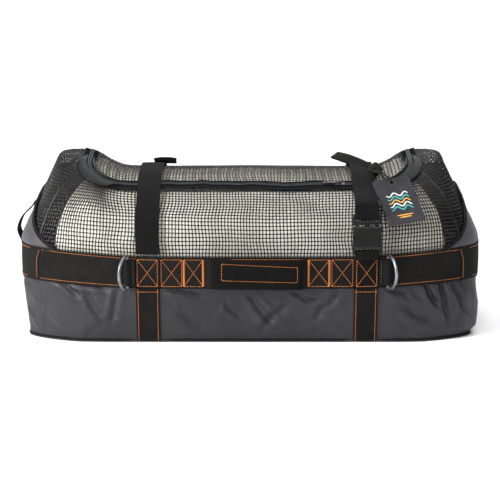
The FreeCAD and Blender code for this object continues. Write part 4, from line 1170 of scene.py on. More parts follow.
# straps down the tub and under the bottom
for name, (x0, x1) in (("left", STRAP_L), ("right", STRAP_R)):
    def wy(z):
        return max(float(edge_y(x0, z)), float(edge_y(x1, z))) + 0.55 + WEB / 2
    zs_ = np.linspace(90.6, 7.0, 18)
    fr_ = [(-wy(z), z) for z in zs_] + [(-wy(3) + 0.8, 2.6), (-wy(0) + 2.6, 1.0)]
    bot = [(y, 0.92) for y in np.linspace(-148, 148, 22)]
    path = np.array(fr_ + bot + [(-y, z) for y, z in reversed(fr_)])
    e = {}

    def cf(x, y, z):
        zz_ = np.clip(z, 0, 120)
        return -np.sign(y) * (max(float(edge_y(x0, 60.0)), float(edge_y(x1, 60.0))) - edge_y(x, 60.0)) * (np.abs(y) > 150)
    (V, F, U), P, N, d = strip(path, x0, x1, conform=cf)
    sg = 1.0
    make("tub_strap_" + name, V, F, M_WEB, "bag", uv=U, slot="webbing", rep=("base_strap_" + name,))
    top_o = -1.0 if (N[2, 4, 1] * P[2, 4, 1]) < 0 else 1.0
    K = P.shape[1]
    for kx in (3, K - 4):
        xcol = P[:, kx].copy()
        xcol[:, 0] = x0 + 3.4 if kx == 3 else x1 - 3.4
        stitches(orange_bag, xcol[:19] + N[:19, kx] * top_o * 1.0, N[:19, kx] * top_o)
        stitches(orange_bag, xcol[-19:] + N[-19:, kx] * top_o * 1.0, N[-19:, kx] * top_o)
    for rr in (1, len(path) - 2):
        row = P[rr, 2:-2] + N[rr, 2:-2] * top_o * 1.0
        stitches(orange_bag, row, N[rr, 2:-2] * top_o)

# webbing that carries the female buckle halves, and the sewn ends of the straps
for name, (x0, x1), sgn in (("right", STRAP_R, 1), ("left", STRAP_L, -1)):
    yb_ = -(max(float(edge_y(x0, 142)), float(edge_y(x1, 142))) + 0.3 + WEB + 0.6 + WEB / 2)
    p = [(yb_, 93.0), (yb_, 108.0), (yb_, 124.0), (yb_ - 0.3, 138.0), (-178.3, 146.0)]
    p += [leaned(*q) for q in ((4.3, 0.0), (3.0, 3.3), (0.0, 4.6), (-3.0, 3.3), (-4.3, 0.0))]
    p += [(-184.2, 144.0), (yb_ - WEB - 0.9, 137.0), (yb_ - WEB - 0.6, 124.0), (yb_ - WEB - 0.6, 93.4)]
    path = smooth_path(np.array([(y * sgn, z) for y, z in p]), 1.8)
    (V, F, U), P, N, d = strip(path, x0, x1, conform=hug(x0, x1))
    make("buckle_webbing_" + name, V, F, M_STRAP, "bag", uv=U, slot="webbing", rep=("strap_anchor_" + name,))
    bk = sgn < 0
    a, b = sx(x0 + 3.0, bk), sx(x1 - 3.0, bk)
    xbox(orange_bag, min(a, b), max(a, b), 0.3 + WEB + 0.6 + 2 * WEB + 0.75, z0=95.5, z1=133.0 + 4)
for name, (x0, x1), sgn in (("left", STRAP_L, 1), ("right", STRAP_R, -1)):
    bk = sgn < 0
    a, b = sx(x0, bk), sx(x1, bk)
    z_ = np.linspace(92.8, 141.2, 14)
    xs_ = edged(x0, x1, 8, 0.7)
    svals = np.array([sx(v, bk) for v in xs_])
    Sg, Zg = np.meshgrid(svals, z_, indexing="ij")
    P, N = wall(Sg, Zg)
    V, F, U = thick(P, N, OFF + WEB + 0.1, OFF, np.stack([np.repeat(xs_[:, None], len(z_), 1), Zg], -1))
    make("strap_end_" + name, V, F, M_WEB, "bag", uv=U, slot="webbing", rep=("strap_patch_" + name,))
    a, b = sx(x0 + 3.0, bk), sx(x1 - 3.0, bk)
    xbox(orange_bag, min(a, b), max(a, b), OFF + WEB + 0.2, z0=95.5, z1=138.0)

# compression straps over the lid
for name, (x0, x1), sgn in (("right", STRAP_R, 1), ("left", STRAP_L, -1)):
    xm = np.linspace(x0, x1, 7)

    def skin(y):
        return float(np.max(top(xm, y * sgn + 0 * xm)[0][:, 2]))
    p = [leaned(*q) for q in ((-4.9, 78.0), (-4.6, 70.0), (-4.4, 62.0), (-4.4, 56.4), (-3.2, 53.7), (0.0, 52.9), (3.2, 53.7), (4.4, 56.4), (4.4, 62.5), (3.2, 68.0))]
    p += [(y, skin(y) + 4.3) for y in (-97.0, -84.0, -70.0, -50.0, -28.0, 0.0, 28.0, 50.0, 70.0, 88.0)]
    p += [(y, skin(y) + 4.6) for y in (104.0, 116.0)]
    p += [(max(float(edge_y(x0, z)), float(edge_y(x1, z))) + dy, float(lift(0.5 * (x0 + x1), z))) for z, dy in ((218.0, 5.4), (208.0, 5.0), (198.0, 4.6), (186.0, 4.2), (170.0, 3.8), (158.0, 3.4), (146.5, 3.2))]
    path = smooth_path(np.array([(y * sgn, z) for y, z in p]), 2.4)
    hg = hug(x0, x1)

    def cf2(x, y, z, hg=hg, sgn=sgn):
        far = (y * sgn) > 0
        e_ = max(float(edge_y(x0, 142.0)), float(edge_y(x1, 142.0)))
        return np.where(far & (np.abs(y) > 140), -np.sign(y) * (e_ - edge_y(x, 142.0)) * sstep((196 - z) / 40.0), 0.0)
    (V, F, U), P, N, d = strip(path, x0, x1, conform=cf2)
    V = V.reshape(-1, 3)
    # the free run across the lid curls very slightly
    drift = sstep((V[:, 2] - 226.0) / 30.0)
    V[:, 2] += drift * 0.5 * np.cos((V[:, 0] - 0.5 * (x0 + x1)) / 19.0 * 1.4)
    make("lid_strap_" + name, V, F, M_STRAP, name + "_strap", uv=U, slot="webbing", rep=("compression_strap_" + name,))


# handles: free webbing with a padded wrap
def plan_strip(pts, z0, z1, t, step=2.4):
    """Upright webbing along a plan path of (x, y) points between heights z0 and z1."""
    path = smooth_path(np.asarray(pts, float), step)
    tan = np.gradient(path, axis=0)
    tan /= np.linalg.norm(tan, axis=1, keepdims=True)
    nrm = np.stack([tan[:, 1], -tan[:, 0]], 1)
    zs_ = edged(z0, z1, 8, 0.7)
    P = np.zeros((len(path), len(zs_), 3))
    P[..., 0], P[..., 1], P[..., 2] = path[:, 0:1], path[:, 1:2], zs_[None]
    N = np.zeros_like(P)
    N[..., 0], N[..., 1] = nrm[:, 0:1], nrm[:, 1:2]
    d = np.concatenate([[0], np.cumsum(np.linalg.norm(np.diff(path, axis=0), axis=1))])
    U = np.stack([P[..., 2], np.broadcast_to(d[:, None], P.shape[:2])], -1)
    return thick(P, N, t / 2, -t / 2, U), path, P, N


for side, sgn in (("front", -1), ("back", 1)):
    body = "handle_" + side
    yw = 172.0 + 0.3 + WEB + 0.6 + WEB / 2
    mid = [(GRIP_X[0] + 2, yw + 5.2), (GRIP_X[0] + 12, yw + 6.6), (-15.0, yw + 8.4), (11.0, yw + 8.6), (37.0, yw + 8.4), (GRIP_X[1] - 12, yw + 6.6), (GRIP_X[1] - 2, yw + 5.2)]
    pts = [(HANDLE_X[0] + 0.4, yw - 0.6), (GRIP_X[0] - 5, yw + 1.4)] + mid + [(GRIP_X[1] + 2, yw + 1.4), (HANDLE_X[1] - 0.4, yw - 0.6)]
    (V, F, U), path, P, N = plan_strip([(x, sgn * y) for x, y in pts], 93.6, 140.0, WEB)
    make("handle_strap_" + side, V, F, M_WEB, body, uv=U, slot="webbing", rep=("handle_web_" + side,))
    # padded wrap: crowned closed form, pulled in at both ends
    c = smooth_path(np.array([(x, y) for x, y in mid]), 2.0)
    cx, cy = c[:, 0], c[:, 1] + 2.0
    n_ = 74
    t = np.linspace(0, 1, n_)
    gx = GRIP_X[0] + (GRIP_X[1] - GRIP_X[0]) * t
    gy = np.interp(gx, cx, cy)
    endf = np.minimum(1.0, np.sin(np.pi * np.clip(t, 0.0, 1.0)) * 7.0) ** 0.45
    endf[0], endf[-1] = 0.30, 0.30
    ang = np.linspace(0, 2 * np.pi, 57)[:-1]
    ca, sa = np.cos(ang), np.sin(ang)
    sec_z = np.sign(sa) * np.abs(sa) ** 0.55
    sec_y = np.sign(ca) * np.abs(ca) ** 0.62
    zc_ = 116.9 - 1.3 * t
    crease = 1.3 * vnoise(gx[:, None] / 13.0, ang[None] * 1.1, 21) + 0.8 * np.sin(gx[:, None] / 4.1 + 1.5 * vnoise(gx[:, None] / 16.0, 0 * ang[None], 23)) * (np.abs(sec_z[None]) > 0.75)
    hh = 24.2 * (0.965 + 0.035 * endf)[:, None] + 0.5 * vnoise(gx[:, None] / 22.0, 0 * ang[None], 24)
    tt = (5.0 * endf[:, None]) * (0.86 + 0.14 * np.cos(np.pi * (sec_z[None] * 0.5)) ** 2) + crease * 0.5 * endf[:, None]
    V = np.stack([gx[:, None] + 0 * ang[None], sgn * (gy[:, None] + tt * sec_y[None]), zc_[:, None] + hh * sec_z[None]], -1)
    groove = Bag()
    # sewn channel of the rectangle pulls the face in
    za_, zb_ = 135.0 - 7.0 * t, 108.0 - 4.0 * t
    front_face = sec_y > 0.55
    for i in range(n_):
        xin = 6 < gx[i] - GRIP_X[0] and GRIP_X[1] - gx[i] > 6
        for j in np.nonzero(front_face)[0]:
            z = V[i, j, 2]
            g = 0.0
            if xin:
                g = max(math.exp(-((z - za_[i]) / 1.8) ** 2), math.exp(-((z - zb_[i]) / 1.8) ** 2))
            if zb_[i] - 2 < z < za_[i] + 2:
                g = max(g, math.exp(-((gx[i] - GRIP_X[0] - 17.0) / 1.8) ** 2), math.exp(-((GRIP_X[1] - 9.0 - gx[i]) / 1.8) ** 2))
            V[i, j, 1] -= sgn * 1.1 * g
    k_ = len(ang)
    idx = np.arange(n_ * k_).reshape(n_, k_)
    q = np.stack([idx[:-1], np.roll(idx[:-1], -1, 1), np.roll(idx[1:], -1, 1), idx[1:]], -1).reshape(-1, 4)
    caps = [idx[0][::-1][None], idx[-1][None]]
    if sgn < 0:
        fs = [q[:, ::-1], caps[0][:, ::-1], caps[1][:, ::-1]]
    else:
        fs = [q] + caps
    uvg = np.stack([V[..., 2], V[..., 0]], -1)
    ob = make("grip_pad_" + side, V, fs, M_GRIP, body, uv=uvg, slot="grip_fabric", rep=("handle_grip_" + side,))
    bm_ = bmesh.new()
    bm_.from_mesh(ob.data)
    bmesh.ops.recalc_face_normals(bm_, faces=bm_.faces)
    bm_.to_mesh(ob.data)
    bm_.free()

    def face_y(x, z):
        i = int(np.argmin(np.abs(gx - x)))
        js = np.nonzero(front_face)[0]
        j = js[int(np.argmin(np.abs(V[i, js, 2] - z)))]
        return V[i, j, 1]
    sb = Bag()
    x_a, x_b = GRIP_X[0] + 17.0, GRIP_X[1] - 9.0

    def tz(x, which):
        u_ = (x - GRIP_X[0]) / (GRIP_X[1] - GRIP_X[0])
        return (135.0 - 7.0 * u_) if which else (108.0 - 4.0 * u_)
    for which in (0, 1):
        xs_ = np.linspace(x_a, x_b, 60)
        zs_ = np.array([tz(x, which) for x in xs_])
        ys_ = np.array([face_y(x, z) for x, z in zip(xs_, zs_)])
        ys_ = np.convolve(np.pad(ys_, 3, mode="edge"), np.ones(7) / 7, "valid")
        Pn = np.tile([0.0, sgn, 0.0], (60, 1))
        stitches(sb, np.stack([xs_, ys_ + sgn * 0.4, zs_], 1), Pn, 4.4, 3.2, 0.42)
    for x in (x_a, x_b):
        zs_ = np.linspace(tz(x, 0), tz(x, 1), 20)
        ys_ = np.array([face_y(x, z) for z in zs_])
        ys_ = np.convolve(np.pad(ys_, 3, mode="edge"), np.ones(7) / 7, "valid")
        stitches(sb, np.stack([0 * zs_ + x, ys_ + sgn * 0.4, zs_], 1), np.tile([0.0, sgn, 0.0], (20, 1)), 4.4, 3.2, 0.42)
    # stitched rectangle on the face of the wrap
    sb.make("grip_stitching_" + side, M_THREAD, body, slot="grip_fabric", sharp=None)

# end grab handle on the left end
eh = []
for z, d_ in ((108.0, 3.4), (124.0, 3.6), (140.0, 3.9), (149.0, 8.0), (160.0, 12.5), (171.0, 13.5), (182.0, 12.0), (191.0, 8.0), (198.0, 4.8), (208.0, 4.4)):
    zn = z if z <= 142 else 142.0 + (z - 142.0 - 7.0) / 1.21
    eh.append((-(float(LA(zn)) + d_), z))
path = smooth_path(np.array(eh), 2.0)
tan = np.gradient(path, axis=0)
tan /= np.linalg.norm(tan, axis=1, keepdims=True)
nrm = np.stack([-tan[:, 1], tan[:, 0]], 1)
ys_ = edged(-19, 19, 8, 0.7)
P = np.zeros((len(path), len(ys_), 3))
P[..., 0], P[..., 1], P[..., 2] = path[:, 0:1], ys_[None], path[:, 1:2]
N = np.zeros_like(P)
N[..., 0], N[..., 2] = nrm[:, 0:1], nrm[:, 1:2]
d = np.concatenate([[0], np.cumsum(np.linalg.norm(np.diff(path, axis=0), axis=1))])
V, F, U = thick(P, N, 1.5, -0.3, np.stack([P[..., 1], np.broadcast_to(d[:, None], P.shape[:2])], -1))
make("end_grab", V, F, M_WEB, "bag", uv=U, slot="webbing", rep=("end_handle",))
for y in (-15.5, 15.5):
    row = np.stack([path[:, 0], 0 * path[:, 0] + y, path[:, 1]], 1)
    nn = np.stack([nrm[:, 0], 0 * nrm[:, 0], nrm[:, 1]], 1)
    stitches(dark_bag, row + nn * 1.55, nn)

# D-ring tabs
D_POS = {"front_left": (-195.0, -1), "front_right": (219.5, -1), "back_left": (-195.0, 1), "back_right": (219.5, 1)}
for name, (xb_, sgn) in D_POS.items():
    yb_ = sgn * (float(edge_y(abs(xb_) - 4.0, 130.0)) + 0.3 + WEB + 4.9 + 0.9)
    zc_ = 117.0 + float(lift(xb_, 117.0)) - 117.0
    s_ = 1.0 if xb_ > 0 else -1.0
    xi = xb_ - s_ * 9.5
    r = 2.6 + 0.7 + 0.7
    yw_ = sgn * (float(edge_y(abs(xi) + 3.0, 117.0)) + 0.3 + WEB + 1.6 + 0.7)
    far = 14.2 if xb_ > 0 else 12.4
    pts = [(xb_ - s_ * far, yw_), (xi, yw_)]
    for k in range(9):
        t = math.radians(-100.0 + 225.0 * k / 8)
        pts.append((xb_ + s_ * r * math.cos(t), yb_ + sgn * r * math.sin(t)))
    pts += [(xi + s_ * 1.0, yw_ + sgn * 2.0), (xb_ - s_ * far, yw_ + sgn * 2.0)]
    (V, F, U), path, P, N = plan_strip(pts, zc_ - 22.0, zc_ + 22.0, 1.4, 1.1)
    make("ring_tab_" + name, V, F, M_WEB, "bag", uv=U, slot="webbing", rep=("d_ring_tab_" + name,))
    xl = xb_ - s_ * (far - 3.2)
    zz_ = np.linspace(zc_ - 19, zc_ + 19, 12)
    stitches(dark_bag, np.stack([0 * zz_ + xl, 0 * zz_ + yw_ + sgn * 2.75, zz_], 1), np.tile([0.0, sgn, 0.0], (12, 1)))

orange_bag.make("stitching_orange", M_THREAD, "bag", slot="webbing", sharp=None)
dark_bag.make("stitching_dark", M_THREADK, "bag", slot="webbing", sharp=None)


# =====================================================================================
# Zip: tapes, coil teeth, end flaps and hinge bindings
# =====================================================================================
def zip_wander(x):
    """The front run of the zip is not quite straight, except beside the slider."""
    w = 4.2 * vnoise(x / 46.0, 0 * x, 105) + 1.6 * vnoise(x / 19.0, 0 * x, 106)
    return w * sstep((226 - np.abs(x)) / 40.0) * sstep((np.abs(x - 140.0) - 26.0) / 30.0)


def u_line(d, nf=150, nc=24):
    half = rim_path(d, nc)
    xs_ = np.linspace(234, -234, nf)[1:-1]
    f = np.stack([xs_, zip_wander(xs_) - (ZD - d)], 1)
    lf = half * [-1, 1]
    return np.concatenate([half[::-1], f, lf])


def u_strip(ds, t_out, t_in, rows=None):
    G = np.stack([u_line(d) for d in ds], 1)
    if rows is not None:
        G = G[rows]
    P, N = top(G[..., 0], G[..., 1])
    mid_ = P[:, len(ds) // 2]
    a = np.concatenate([[0], np.cumsum(np.linalg.norm(np.diff(mid_, axis=0), axis=1))])
    U = np.stack([np.broadcast_to(np.asarray(ds)[None], P.shape[:2]), np.broadcast_to(a[:, None], P.shape[:2])], -1)
    return thick(P, N, t_out, t_in, U)


V, F, U = u_strip(edged(-10.4, -1.1, 5, 0.5), 1.7, 0.5)
make("zip_tape_outer", V, F, M_TAPE, "bag", uv=U, slot="zip_tape", rep=("zip_tape_body",))
V, F, U = u_strip(edged(1.1, 9.4, 5, 0.5), 1.7, 0.5)
make("zip_tape_inner", V, F, M_TAPE, "lid", uv=U, slot="zip_tape", rep=("zip_tape_lid",))
G = u_line(-10.6)
P, N = top(G[:, 0], G[:, 1])
V, F, U = tube(P + N * 0.9, N, 1.7, 1.5, 8)
make("zip_piping", V, F, M_WEB, "bag", uv=U, slot="zip_tape")


def coil(name, body, side, phase, rep):
    G = u_line(0.0, 300, 40)
    d = np.concatenate([[0], np.cumsum(np.hypot(*np.diff(G, axis=0).T))])
    n_ = int(d[-1] / 2.5)
    t = (np.arange(n_) + phase) * d[-1] / n_
    x, y = np.interp(t, d, G[:, 0]), np.interp(t, d, G[:, 1])
    x2, y2 = np.interp(t + 0.5, d, G[:, 0]), np.interp(t + 0.5, d, G[:, 1])
    x1, y1 = np.interp(t - 0.5, d, G[:, 0]), np.interp(t - 0.5, d, G[:, 1])
    T = np.stack([x2 - x1, y2 - y1], 1)
    T /= np.linalg.norm(T, axis=1, keepdims=True)
    inw = np.stack([T[:, 1], -T[:, 0]], 1)          # towards the middle of the lid
    cen_ = np.stack([x, y], 1) + inw * (1.55 * side)
    P, N = top(cen_[:, 0], cen_[:, 1])
    W = np.concatenate([inw, np.zeros((n_, 1))], 1)
    W -= N * (W * N).sum(1, keepdims=True)
    W /= np.linalg.norm(W, axis=1, keepdims=True)
    S = np.cross(W, N)
    along = np.array([-0.5, -0.38, 0.0, 0.38, 0.5]) * 4.0
    rad = np.array([0.55, 0.95, 1.0, 0.95, 0.55])
    a = np.arange(6) * np.pi / 3
    V = (P[:, None, None] + W[:, None, None] * along[None, :, None, None] + N[:, None, None] * (1.35 + 0.85 * rad[:, None] * np.sin(a)[None])[None, :, :, None]
         + S[:, None, None] * (0.84 * rad[:, None] * np.cos(a)[None])[None, :, :, None])
    base = (np.arange(n_) * 30)[:, None]
    idx = np.arange(30).reshape(5, 6)
    q = np.stack([idx[:-1], idx[1:], np.roll(idx[1:], -1, 1), np.roll(idx[:-1], -1, 1)], -1).reshape(-1, 4)
    F4 = (q[None] + base[:, :, None]).reshape(-1, 4)
    caps = np.concatenate([(idx[0][None, None] + base[:, :, None]).reshape(-1, 6), (idx[-1][::-1][None, None] + base[:, :, None]).reshape(-1, 6)])
    bg = Bag()
    bg.add(V.reshape(-1, 3), [F4[:, ::-1], caps[:, ::-1]])
    # sewn core that the teeth sit on
    Gc = u_line(1.9 * side * 1.0)
    Pc, Nc_ = top(Gc[:, 0], Gc[:, 1])
    Vc, Fc, Uc = tube(Pc + Nc_ * 1.9, Nc_, 0.9, 0.8, 6)
    bg.add(Vc, Fc, Uc)
    bg.make(name, M_TEETH, body, slot="zip_chain", rep=(rep,), sharp=60)


coil("zip_coil_outer", "bag", -1, 0.0, "zip_chain_body")
coil("zip_coil_inner", "lid", 1, 0.5, "zip_chain_lid")

# glossy flaps that cover the zip at both front corners, cut in an inner and an outer part along the zip
for side, m_ in (("right", 1.0), ("left", -1.0)):
    for part, d0, d1, body in (("outer", -21.0, -4.2, "bag"), ("inner", 4.2, 9.5, "lid")):
        u = edged(0.0, 1.0, 34, 0.012)
        rows = []
        for t in u:
            w_out = (math.sin(math.pi * min(max(t, 0.02), 0.98)) ** 0.75)
            e0 = d0 * w_out if part == "outer" else d0
            e1 = d1 if part == "outer" else d0 + (d1 - d0) * w_out
            if part == "outer":
                e0 = min(e0, d1 - 1.5)
            ds = edged(e0, e1, 7, 0.5)
            row = []
            for d in ds:
                L_, D__, rf_ = ZL - d, ZD - d, ZRF - d
                a0 = -0.55 + 2.2 * t
                if a0 < 0:
                    pt = (234.0 + a0 * 34.0, -D__)
                elif a0 < 1.0:
                    th = a0 * math.pi / 2
                    pt = (234.0 + rf_ * math.sin(th), -D__ + rf_ - rf_ * math.cos(th))
                else:
                    pt = (L_, -61.0 + (a0 - 1.0) * 40.0)
                row.append(pt)
            rows.append(row)
        G = np.array(rows)
        P, N = top(G[..., 0] * m_, G[..., 1])
        cu, cv = np.meshgrid(u, np.linspace(0, 1, G.shape[1]), indexing="ij")
        crown = 1.8 * np.sin(np.pi * cu) ** 0.6 * np.sin(np.pi * np.clip(cv, 0.0, 1.0)) ** 0.8 + 0.7 * vnoise(cu * 7, cv * 2.4, 33)
        P = P + N * (2.0 + np.maximum(crown, 0))[..., None]
        if m_ < 0:
            P, N, G = P[::-1], N[::-1], G[::-1]
        V, F, U = thick(P, N, 0.7, -0.6, G.copy())
        ob = make("zip_flap_%s_%s" % (side, part), V, F, M_FLAP, body, uv=U, slot="zip_tape")

for name, y0, y1, body, node in (("outer", ZD + 1.6, 100.4, "bag", "hinge_binding_body"), ("inner", ZD - 9.4, ZD - 1.6, "lid", "hinge_binding_lid")):
    xs_ = edged(-203.0, 203.0, 110, 0.8)
    ys_ = edged(y0, y1, 5, 0.5)
    X, Y = np.meshgrid(xs_, ys_, indexing="ij")
    P, N = top(X, Y)
    V, F, U = thick(P, N, 1.7, 0.2, np.stack([Y, X], -1))
    make("hinge_tape_" + name, V, F, M_WEB, body, uv=U, slot="zip_tape", rep=(node,))
    sb = Bag()
    for yy in (y0 + 1.8, y1 - 1.8):
        P, N = top(xs_, yy + 0 * xs_)
        stitches(sb, P + N * 1.75, N, 4.0, 3.0, 0.5)
    sb.make("hinge_stitching_" + name, M_THREADK, body, slot="zip_tape", sharp=None)

# =====================================================================================
# Luggage tag, its braided loop and knot, and the loose strap tails
# =====================================================================================
TAG_W, TAG_H, TAG_T = 63.0, 88.0, 2.6


def unit(v):
    v = np.asarray(v, float)
    return v / np.linalg.norm(v)


TX = unit((61.4, 18.2, 7.7))
TD = np.array((27.4, -57.2, -61.6))
TD = unit(TD - TX * TD.dot(TX))
TN = -np.cross(TD, TX)
if TN[1] > 0:
    TN = -TN
TC = np.array((197.0, -134.5, 257.4)) + TN * -8.0 - TD * 5.0
HU, HV = TAG_W / 2.0, 9.0


def bend(u, v):
    """The tag is slightly dished."""
    return 0.9 * np.sin(np.pi * np.clip(np.asarray(v, float) / TAG_H, 0, 1)) - 0.5 * (np.asarray(u, float) / TAG_W - 0.5) ** 2 * 4


def tagp(u, v, w):
    u, v, w = np.broadcast_arrays(np.asarray(u, float), np.asarray(v, float), np.asarray(w, float))
    w = w + bend(u, v)
    return TC + u[..., None] * TX + v[..., None] * TD + w[..., None] * TN


def round_rect(inset, n=12, r=5.0):
    out = []
    for cu, cv, t0 in ((r, r, 180), (TAG_W - r, r, 270), (TAG_W - r, TAG_H - r, 0), (r, TAG_H - r, 90)):
        for k in range(n + 1):
            t = math.radians(t0 + 90.0 * k / n)
            out.append((cu + (r - inset) * math.cos(t), cv + (r - inset) * math.sin(t)))
    return np.array(out)


ro = round_rect(0.0)
dense = []
for k in range(len(ro)):
    a, b = ro[k], ro[(k + 1) % len(ro)]
    m = max(int(np.hypot(*(b - a)) / 3.0), 1)
    for j in range(m):
        dense.append(a + (b - a) * j / m)
ro = np.array(dense)
ang = np.arctan2(ro[:, 1] - HV, ro[:, 0] - HU)
hole = np.stack([HU + 3.6 * np.cos(ang), HV + 3.6 * np.sin(ang)], 1)
tt = np.concatenate([[0.0, 0.012, 0.04], np.linspace(0.1, 0.9, 14), [0.965, 0.985, 1.0]])
G = hole[:, None] * (1 - tt)[None, :, None] + ro[:, None] * tt[None, :, None]
# put the rings near the border at a constant inset
cen_ = np.array([TAG_W / 2, TAG_H / 2])
Pm = tagp(G[..., 0], G[..., 1], TAG_T / 2)
Nm = np.broadcast_to(TN, Pm.shape).copy()
edge_d = np.minimum(np.minimum(G[..., 0], TAG_W - G[..., 0]), np.minimum(G[..., 1], TAG_H - G[..., 1]))
hem = 0.35 * sstep((4.6 - edge_d) / 1.2)
V, F, U = thick(Pm, Nm, 1.0 + hem, -1.0 - hem, G.copy(), ring=True)
ob = make("tag_body", V, F, M_TAG, "luggage_tag", uv=U, slot="tag_fabric", rep=("luggage_tag",))
bm_ = bmesh.new()
bm_.from_mesh(ob.data)
bmesh.ops.recalc_face_normals(bm_, faces=bm_.faces)
bm_.to_mesh(ob.data)
bm_.free()
sb = Bag()
r2 = round_rect(3.0, 6)
r2 = np.concatenate([r2, r2[:1]])
for w, s_ in ((TAG_T / 2 + 1.35, 1.0), (TAG_T / 2 - 1.35, -1.0)):
    Pp = tagp(r2[:, 0], r2[:, 1], w)
    stitches(sb, Pp, np.tile(TN * s_, (len(Pp), 1)), 3.2, 2.5, 0.42, 0.05)
a = np.linspace(0, 2 * np.pi, 40)
for rr in (4.3, 5.3):
    Pp = tagp(HU + rr * np.cos(a), HV + rr * np.sin(a), TAG_T / 2 + 1.05)
    V_, F_, U_ = tube(Pp[:-1], np.tile(TN, (39, 1)), 0.55, 0.4, 6, closed=True)
    sb.add(V_, F_, U_)
sb.make("tag_hem_stitch", M_THREADK, "luggage_tag", slot="tag_fabric", sharp=None)


def embroider(name, mat, rows, width):
    """Satin-stitched ribbons: rows of (u, v) curves made of short threads across the line."""
    bg = Bag()
    for uu, vv in rows:
        Pp = tagp(uu, vv, TAG_T / 2 + 1.05)
        Q, M, T = resample(Pp, np.tile(TN, (len(Pp), 1)), 0.8)
        S = np.cross(T, M)
        k = len(Q)
        sw = width * (0.55 + 0.45 * np.sin(np.pi * (np.arange(k) + 0.5) / k) ** 0.5)
        along = np.array([-0.5, -0.36, 0.0, 0.36, 0.5])
        rad = np.array([0.3, 0.85, 1.0, 0.85, 0.3]) * 0.46
        rise = np.array([-0.1, 0.16, 0.30, 0.16, -0.1])
        aa = np.arange(6) * np.pi / 3
        D_ = S + T * 0.18
        V = (Q[:, None, None] + D_[:, None, None] * (sw[:, None] * along[None])[:, :, None, None]
             + M[:, None, None] * (rise[:, None] + rad[:, None] * 0.8 * np.sin(aa)[None])[None, :, :, None]
             + T[:, None, None] * (rad[:, None] * np.cos(aa)[None])[None, :, :, None])
        base = (np.arange(k) * 30)[:, None]
        idx = np.arange(30).reshape(5, 6)
        q = np.stack([idx[:-1], idx[1:], np.roll(idx[1:], -1, 1), np.roll(idx[:-1], -1, 1)], -1).reshape(-1, 4)
        F4 = (q[None] + base[:, :, None]).reshape(-1, 4)
        caps = np.concatenate([(idx[0][None, None] + base[:, :, None]).reshape(-1, 6), (idx[-1][::-1][None, None] + base[:, :, None]).reshape(-1, 6)])
        bg.add(V.reshape(-1, 3), [F4, caps])
    return bg.make(name, mat, "luggage_tag", slot="tag_fabric", sharp=None)


uu = np.linspace(13.0, 50.0, 60)


def wavy(v0, amp, ph=0.0):
    return (uu, v0 + amp * np.sin((uu - 13.0) / 37.0 * 4 * np.pi + ph))


embroider("tag_wave_pale", M_PALE, [wavy(33.0, 3.2), wavy(53.0, 3.2, 0.9)], 2.6)
embroider("tag_wave_teal", M_TEAL, [wavy(39.6, 3.2, 0.3), wavy(59.5, 3.2, 1.2)], 3.0)
embroider("tag_wave_amber", M_AMBER, [wavy(46.3, 3.2, 0.6), (np.linspace(18, 45, 20), np.full(20, 73.0)), (np.linspace(22, 41, 20), np.full(20, 77.0))], 2.4)

# braided loop between the strap and the hole of the tag
sxl = STRAP_R[1] - 4.0
zt = float(top(sxl, -70.0)[0][2])
hu, hv = HU, HV
kn = np.array([206.0, -58.0, zt + 12.0])
loop = [kn + [-1.0, -4.0, -1.5], np.array(tagp(hu - 14.0, -14.0, TAG_T + 5.0)), np.array(tagp(hu - 4.0, 0.0, TAG_T + 3.4)), np.array(tagp(hu - 0.4, hv - 2.5, TAG_T + 1.8)),
        np.array(tagp(hu, hv, 0.0)), np.array(tagp(hu - 1.5, hv - 4.5, -2.0)), np.array(tagp(hu - 6.0, -4.0, -2.4)), np.array(tagp(hu - 13.0, -17.0, 0.0)), kn + [-5.0, 4.0, -3.0]]
lp = np.array(loop + [loop[0]])
crv = smooth_path(lp, 1.3)
Nl = np.tile([0.2, -0.4, 0.9], (len(crv), 1))
Tl = np.gradient(crv, axis=0)
Tl /= np.linalg.norm(Tl, axis=1, keepdims=True)
Bl = np.cross(Tl, Nl)
Bl /= np.linalg.norm(Bl, axis=1, keepdims=True)
Ul = np.cross(Bl, Tl)
al = np.concatenate([[0], np.cumsum(np.linalg.norm(np.diff(crv, axis=0), axis=1))])
bg = Bag()
for k in range(4):
    ph = 2 * np.pi * al / 9.0 * (1 if k % 2 else -1) + k * np.pi / 2
    Q = crv + Bl * (1.15 * np.cos(ph))[:, None] + Ul * (0.85 * np.sin(ph))[:, None]
    V, F, U = tube(Q, Ul, 0.85, 0.75, 6)
    bg.add(V, F, U)
V, F, U = tube(crv, Ul, 0.9, 0.7, 6)
bg.add(V, F, U)
bg.make("tag_loop_braid", M_CORD, "right_strap", slot="tag_cord", rep=("tag_loop",), sharp=None)


